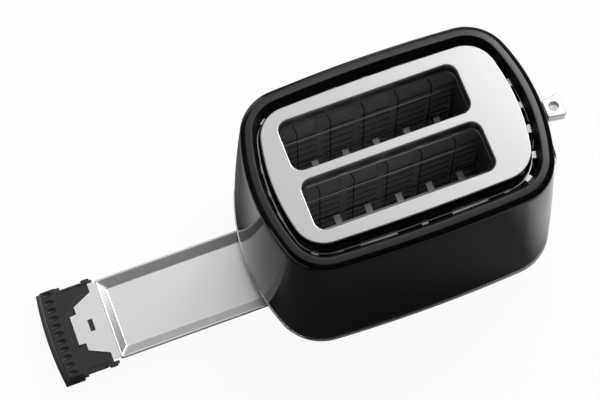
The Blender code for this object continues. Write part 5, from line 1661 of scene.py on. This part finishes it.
def make_magnet():
    """The electromagnet's three-legged core and the winding round its middle leg."""
    low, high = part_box("electromagnet")
    middle = (low + high) / 2
    thick, leg, middle_leg = 0.0022, 0.0024, 0.0026
    core = block("core", (low.x, low.y, low.z), (high.x, high.y, low.z + thick))
    places = ((low.y, low.y + leg), (middle.y - middle_leg, middle.y + middle_leg), (high.y - leg, high.y))
    legs = [
        block("leg", (middle.x - thick, start, low.z + 0.0010), (middle.x + thick, end, high.z))
        for start, end in places
    ]
    joined(core, *legs)
    eased(core, 0.0002, 2)
    core.name = "magnet_core"
    dressed(core, "zinc sheet", "housing", "coil", "electromagnet")
    ring = rounded_rectangle(middle.x, middle.y, 0.0050, 0.0056, 0.0022, 8)
    hole = rounded_rectangle(middle.x, middle.y, 0.0024, 0.0028, 0.0004, 8)
    bottom, top = low.z + 0.0030, high.z - 0.0016
    section = [at_height(ring, bottom), at_height(ring, top), at_height(hole, top), at_height(hole, bottom)]
    dressed(loft("magnet_winding", section, looped=True), "copper winding", "housing", "coil")


# Controls


def make_lever(scene):
    """The flared knob with its round dish on the end of the arm."""
    sizes = scene.toaster_controls
    low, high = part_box("lever_knob")
    inner, outer = low.x, high.x
    corner, narrow, wide = 0.0024, 0.0072, 0.0093
    half = [(inner, narrow)]
    half += [(outer - corner * back, wide - corner * inward) for inward, back in rounded_edge(8, 0)]
    outline = half + [(x, -y) for x, y in reversed(half)]
    bottom, top = sizes.knob_top - sizes.knob_thickness, sizes.knob_top
    knob = eased(prism("lever_grip", outline, bottom, top), 0.0009, 4)
    middle = (inner + outer) / 2
    radius = sizes.dish_radius
    dish = rod("dish", middle, 0.0, radius, top - sizes.dish_depth - OVERRUN, top + OVERRUN, "z", 64)
    rim = top - 0.0002
    scoop = [
        (-radius - OVERRUN, top + OVERRUN),
        (-radius, rim),
        (radius - sizes.dish_depth, top - sizes.dish_depth),
        (radius, rim),
        (radius + OVERRUN, top + OVERRUN),
    ]
    combined(dish, [prism("scoop", scoop, middle - 2 * radius, middle + 2 * radius, "x")], "INTERSECT")
    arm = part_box("lever_arm")[1].x
    pocket = block(
        "pocket",
        (inner - OVERRUN, -ARM_HALF - CLEARANCE, ARM_BOTTOM - CLEARANCE),
        (arm + CLEARANCE, ARM_HALF + CLEARANCE, ARM_TOP + CLEARANCE),
    )
    dressed(cut(knob, dish, pocket), "satin chrome", "lift", "chrome", "lever_knob", crease=40.0, flat=True)


def make_controls(scene):
    """The dial and the push buttons, and the finishes of the board and the switches behind them."""
    sizes = scene.toaster_controls
    refinished("board lacquer", "control_board")
    switches = [f"button_switch_{number}" for number in range(1, len(BUTTON_LEVELS) + 1)]
    refinished("switch plastic", "dial_potentiometer", *switches)
    make_dial(sizes)
    make_buttons(sizes)


def make_dial(sizes):
    """The chrome dial with a raised rim and a pointer line, and the fine ribs round it."""
    low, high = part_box("browning_dial")
    back, front = low.x, high.x
    radius, z = sizes.dial_radius, sizes.dial_height
    body = radius - 0.0004
    profile = [
        (DIAL_BORE, back),
        (body - 0.0009, back),
        (body, back + 0.0009),
        (body, front - 0.0022),
        (radius, front - 0.0020),
        (radius, front - 0.0010),
        (radius - 0.0003, front - 0.0003),
        (radius - 0.0010, front),
        (radius - 0.0022, front - 0.0002),
        (radius - 0.0030, front - 0.0009),
        (0.0060, front - 0.0011),
        (0.0010, front - 0.0011),
    ]
    dial = turned("dial_knob", profile, 0.0, z, "x", sides=96)
    bore = rod("bore", 0.0, z, DIAL_BORE, back - OVERRUN, back + 0.0063, "x")
    line, deep = 0.0007, 0.0018
    low, high = (front - deep, -line, z + radius * 0.30), (front + OVERRUN, line, z + radius - 0.0010)
    cut(dial, bore, block("pointer", low, high))
    dressed(dial, "chrome", "dial", "chrome", "browning_dial", crease=40.0)
    half = 0.00022
    low, high = (back + 0.0016, -half, z + body - 0.0003), (front - 0.0028, half, z + radius - 0.0001)
    dressed(ring_of_ribs(block("dial_ribs", low, high), z, sizes.dial_ribs), "chrome", "dial", "chrome")


def ring_of_ribs(rib, height, ribs):
    """A rib repeated round the dial's axis, which lies along X at a height, by a tree."""
    tree = Growth("Dial ribs")
    number = tree.size("Ribs", ribs, "NodeSocketInt")
    centre = tree.size("Axis height", height)
    line = tree.node("GeometryNodeMeshLine", {"mode": "OFFSET"}, {"Count": number, "Offset": (0.0, 0.0, 0.0)})
    index = tree.node("GeometryNodeInputIndex")
    part = tree.node("ShaderNodeMath", {"operation": "DIVIDE"}, {0: index, 1: number})
    turn = tree.node("ShaderNodeMath", {"operation": "MULTIPLY"}, {0: part, 1: 2 * math.pi})
    down = tree.node("ShaderNodeMath", {"operation": "MULTIPLY"}, {0: centre, 1: -1.0})
    inputs = {"Geometry": tree.geometry(), "Translation": tree.vector(z=down)}
    lowered = tree.node("GeometryNodeTransform", None, inputs)
    inputs = {"Points": line, "Instance": lowered, "Rotation": tree.vector(x=turn)}
    turned_ribs = tree.node("GeometryNodeInstanceOnPoints", None, inputs)
    inputs = {"Geometry": turned_ribs, "Translation": tree.vector(z=centre)}
    return tree.grow(rib, [tree.node("GeometryNodeTransform", None, inputs)], "chrome")


def make_buttons(sizes):
    """The dished caps of the push buttons."""
    radius = sizes.button_radius
    for number, level in enumerate(BUTTON_LEVELS, 1):
        node = f"push_button_{number}"
        low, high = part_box(node)
        profile = [
            (radius, low.x),
            (radius, high.x - 0.0008),
            (radius - 0.0002, high.x - 0.0003),
            (radius - 0.0007, high.x),
            (radius - 0.0016, high.x - 0.0002),
            (radius - 0.0030, high.x - 0.0006),
            (0.0008, high.x - 0.0008),
        ]
        button = turned(f"button_{number}_cap", profile, BUTTON_Y, level, "x")
        dressed(button, "satin plastic", f"button_{number}", "satin_black", node, crease=50.0)


# Stage


FLOOR_REACH = 6.0
CAMERA_PLACE = (-0.23711, -0.47974, 1.54728)
LAMP_TARGET = (0.0, 0.0, 0.1)
MAIN_LAMP_PLACE = (1.17, 0.75, 1.57)
STRIP_LAMP_PLACE = (-1.50, -0.50, 0.60)


def make_floor(settings):
    """A plain floor, nearly white to the camera and beyond the toaster's ends, that keeps the shadow."""
    mesh = bmesh.new()
    bmesh.ops.create_grid(mesh, x_segments=1, y_segments=1, size=FLOOR_REACH)
    bmesh.ops.translate(mesh, verts=mesh.verts, vec=(0.0, 0.0, settings.floor_drop))
    floor = linked("floor", mesh)
    made = recipe_for("pale floor")
    cloud = made.noise(1.5, 2.0)
    seen = made.node("ShaderNodeLightPath", output="Is Camera Ray")
    pale = made.shades((0.78, 0.78, 0.78), cloud, 0.01)
    paint = made.tint(seen, made.shades(settings.floor_colour[:], cloud, 0.02), pale)
    base = made.node("ShaderNodeBsdfDiffuse", None, {"Color": paint})
    white = made.node("ShaderNodeEmission", None, {"Color": (1.0, 1.0, 1.0), "Strength": 1.05})
    glossy = made.node("ShaderNodeLightPath", output="Is Glossy Ray")
    through = made.node("ShaderNodeLightPath", output="Is Transmission Ray")
    x, y = made.axis(0), made.axis(1)

    # The parts of the floor past the toaster's two ends, which reflections show white
    past_tray_end = (0 - x).over(0.160, 0.035) * y.over(-0.01, 0.05)
    past_lever_end = x.over(0.126, 0.028) * (1 - x.over(0.260, 0.040))
    beyond = past_tray_end + past_lever_end
    factor = seen * settings.floor_white + glossy.largest(through) * beyond * settings.mirror_white
    made.node_output(made.node("ShaderNodeMixShader", None, {0: factor, 1: base, 2: white}))
    floor.data.materials.append(made.owner)


def make_sky(scene, settings):
    """Soft studio light that comes mostly from above, right and behind, and a white background."""
    world = bpy.data.worlds.new("studio")
    scene.world = world
    made = Recipe(world)
    direction = made.node("ShaderNodeTexCoord", output="Generated")
    x, y, z = (made.node("ShaderNodeSeparateXYZ", None, {0: direction}, output=axis) for axis in range(3))

    # The large light overhead grows brighter to the right and to the back, up to where it ends
    rightwards = x.over(-0.28, 0.08) * 0.62 + x.over(0.13, 0.08) * 0.52
    backwards = y.over(-0.60, 0.10) * 0.26 + y.over(0.18, 0.13) * 0.74
    limits = (1 - x.over(0.70, 0.08)) * (1 - y.over(0.72, 0.08) * 0.65)
    overhead = rightwards * backwards * limits * settings.sky_level

    # A pale band low in front and behind, and a faint light elsewhere that is stronger at the back
    horizon = (1 - z.over(0.08, 0.03)) * (1 - x.size().over(0.50, 0.20)) * settings.horizon
    rest = z.largest(0.0) * (0.20 + y.over(0.02, 0.20) * 0.80) * settings.sky_rest
    least = 0.015
    level = overhead + rest + horizon + least
    soft = made.node("ShaderNodeBackground", None, {"Color": (1.0, 1.0, 1.0), "Strength": level})
    white = made.node("ShaderNodeBackground", None, {"Color": (1.0, 1.0, 1.0), "Strength": 1.0})
    seen = made.node("ShaderNodeLightPath", output="Is Camera Ray")
    through = made.node("ShaderNodeLightPath", output="Is Transmission Ray")
    mixed = made.node("ShaderNodeMixShader", None, {0: seen.largest(through), 1: soft, 2: white})
    made.node_output(mixed, "ShaderNodeOutputWorld")


def make_lamp(name, place, size, watts):
    """A square or long lamp that faces the toaster's middle."""
    data = bpy.data.lights.new(name, "AREA")
    data.shape = "RECTANGLE"
    data.size, data.size_y = size
    data.energy = watts
    lamp = bpy.data.objects.new(name, data)
    turn = (Vector(LAMP_TARGET) - Vector(place)).to_track_quat("-Z", "Y").to_matrix().to_4x4()
    lamp.matrix_world = Matrix.Translation(place) @ turn
    bpy.context.scene.collection.objects.link(lamp)


def make_camera(scene, settings):
    azimuth, elevation, roll = settings.azimuth, settings.elevation, settings.roll
    across = math.cos(elevation)
    back = Vector((math.sin(azimuth) * across, -math.cos(azimuth) * across, math.sin(elevation)))
    level = Vector((math.cos(azimuth), math.sin(azimuth), 0.0))
    upward = back.cross(level)
    right = math.cos(roll) * level + math.sin(roll) * upward
    up = -math.sin(roll) * level + math.cos(roll) * upward
    data = bpy.data.cameras.new("camera")
    data.lens = settings.lens
    data.sensor_width = 36.0
    data.clip_end = 50.0
    camera = bpy.data.objects.new("camera", data)
    turn = Matrix((right, up, back)).transposed().to_4x4()
    camera.matrix_world = Matrix.Translation(CAMERA_PLACE) @ turn
    bpy.context.scene.collection.objects.link(camera)
    scene.camera = camera


def make_stage(scene):
    settings = scene.toaster_stage
    make_floor(settings)
    make_sky(scene, settings)
    make_lamp("main lamp", MAIN_LAMP_PLACE, (0.9, 0.9), settings.lamp_watts)
    make_lamp("strip lamp", STRIP_LAMP_PLACE, (1.4, 0.10), settings.strip_watts)
    make_camera(scene, settings)
    scene.view_settings.view_transform = "Standard"


# Operators and panel


class TOASTER_OT_base(bpy.types.Operator):
    """Build the black base with its runners and bosses"""

    bl_idname = "toaster.base"
    bl_label = "Base"

    def execute(self, context):
        make_base(context.scene)
        return {"FINISHED"}


class TOASTER_OT_trim(bpy.types.Operator):
    """Build the chrome trim ring"""

    bl_idname = "toaster.trim"
    bl_label = "Trim ring"

    def execute(self, context):
        make_trim(context.scene)
        return {"FINISHED"}


class TOASTER_OT_shell(bpy.types.Operator):
    """Build the glossy outer shell"""

    bl_idname = "toaster.shell"
    bl_label = "Outer shell"

    def execute(self, context):
        make_shell(context.scene)
        return {"FINISHED"}


class TOASTER_OT_rim(bpy.types.Operator):
    """Build the crowned top rim"""

    bl_idname = "toaster.rim"
    bl_label = "Top rim"

    def execute(self, context):
        make_rim(context.scene)
        return {"FINISHED"}


class TOASTER_OT_skirt(bpy.types.Operator):
    """Build the plate's skirt and the groove's floor"""

    bl_idname = "toaster.skirt"
    bl_label = "Plate skirt"

    def execute(self, context):
        make_skirt(context.scene)
        make_groove_floor(context.scene)
        return {"FINISHED"}


class TOASTER_OT_plate(bpy.types.Operator):
    """Build the metal plate with its two bread slots"""

    bl_idname = "toaster.plate"
    bl_label = "Top plate"

    def execute(self, context):
        make_plate(context.scene)
        return {"FINISHED"}


class TOASTER_OT_feet(bpy.types.Operator):
    """Build the four rubber feet and their screws"""

    bl_idname = "toaster.feet"
    bl_label = "Feet and screws"

    def execute(self, context):
        make_feet(context.scene)
        return {"FINISHED"}


class TOASTER_OT_gland(bpy.types.Operator):
    """Build the cord's bush in the rear wall"""

    bl_idname = "toaster.gland"
    bl_label = "Cord bush"

    def execute(self, context):
        make_gland(context.scene)
        return {"FINISHED"}


class TOASTER_OT_tray(bpy.types.Operator):
    """Build the crumb tray's pan"""

    bl_idname = "toaster.tray"
    bl_label = "Crumb tray"

    def execute(self, context):
        make_tray(context.scene)
        return {"FINISHED"}


class TOASTER_OT_handle(bpy.types.Operator):
    """Build the crumb tray's handle"""

    bl_idname = "toaster.handle"
    bl_label = "Tray handle"

    def execute(self, context):
        make_handle(context.scene)
        return {"FINISHED"}


class TOASTER_OT_heaters(bpy.types.Operator):
    """Build the four heater boards with their ribbons and strips"""

    bl_idname = "toaster.heaters"
    bl_label = "Heaters"

    def execute(self, context):
        make_heaters(context.scene)
        return {"FINISHED"}


class TOASTER_OT_guards(bpy.types.Operator):
    """Build the four wire guards"""

    bl_idname = "toaster.guards"
    bl_label = "Bread guards"

    def execute(self, context):
        make_guards(context.scene)
        return {"FINISHED"}


class TOASTER_OT_lift(bpy.types.Operator):
    """Build the lift's spring and magnet, and finish its racks and carriage"""

    bl_idname = "toaster.lift"
    bl_label = "Lift"

    def execute(self, context):
        make_lift(context.scene)
        return {"FINISHED"}


class TOASTER_OT_lever(bpy.types.Operator):
    """Build the lever's knob"""

    bl_idname = "toaster.lever"
    bl_label = "Lever knob"

    def execute(self, context):
        make_lever(context.scene)
        return {"FINISHED"}


class TOASTER_OT_controls(bpy.types.Operator):
    """Build the browning dial and the push buttons"""

    bl_idname = "toaster.controls"
    bl_label = "Dial and buttons"

    def execute(self, context):
        make_controls(context.scene)
        return {"FINISHED"}


class TOASTER_OT_stage(bpy.types.Operator):
    """Build the floor, the light and the camera"""

    bl_idname = "toaster.stage"
    bl_label = "Stage"

    def execute(self, context):
        make_stage(context.scene)
        return {"FINISHED"}


OPERATORS = (
    TOASTER_OT_base,
    TOASTER_OT_trim,
    TOASTER_OT_shell,
    TOASTER_OT_rim,
    TOASTER_OT_skirt,
    TOASTER_OT_plate,
    TOASTER_OT_feet,
    TOASTER_OT_gland,
    TOASTER_OT_tray,
    TOASTER_OT_handle,
    TOASTER_OT_heaters,
    TOASTER_OT_guards,
    TOASTER_OT_lift,
    TOASTER_OT_lever,
    TOASTER_OT_controls,
    TOASTER_OT_stage,
)


class TOASTER_PT_pieces(bpy.types.Panel):
    """Lists the toaster's pieces and their sizes."""

    bl_idname = "TOASTER_PT_pieces"
    bl_label = "Toaster"
    bl_space_type = "VIEW_3D"
    bl_region_type = "UI"
    bl_category = "Toaster"

    def draw(self, context):
        for operator in OPERATORS:
            self.layout.operator(operator.bl_idname)
        for name, group in PIECE_GROUPS.items():
            box = self.layout.box()
            box.label(text=group.__doc__.strip())
            for key in group.__annotations__:
                box.prop(getattr(context.scene, name), key)


CLASSES = (*PIECE_GROUPS.values(), *OPERATORS, TOASTER_PT_pieces)


def register():
    for one in CLASSES:
        bpy.utils.register_class(one)
    for name, group in PIECE_GROUPS.items():
        setattr(bpy.types.Scene, name, PointerProperty(type=group))


def unregister():
    for name in PIECE_GROUPS:
        delattr(bpy.types.Scene, name)
    for one in reversed(CLASSES):
        bpy.utils.unregister_class(one)


def main():
    register()
    for operator in OPERATORS:
        module, name = operator.bl_idname.split(".")
        getattr(getattr(bpy.ops, module), name)()


if __name__ == "__main__":
    main()
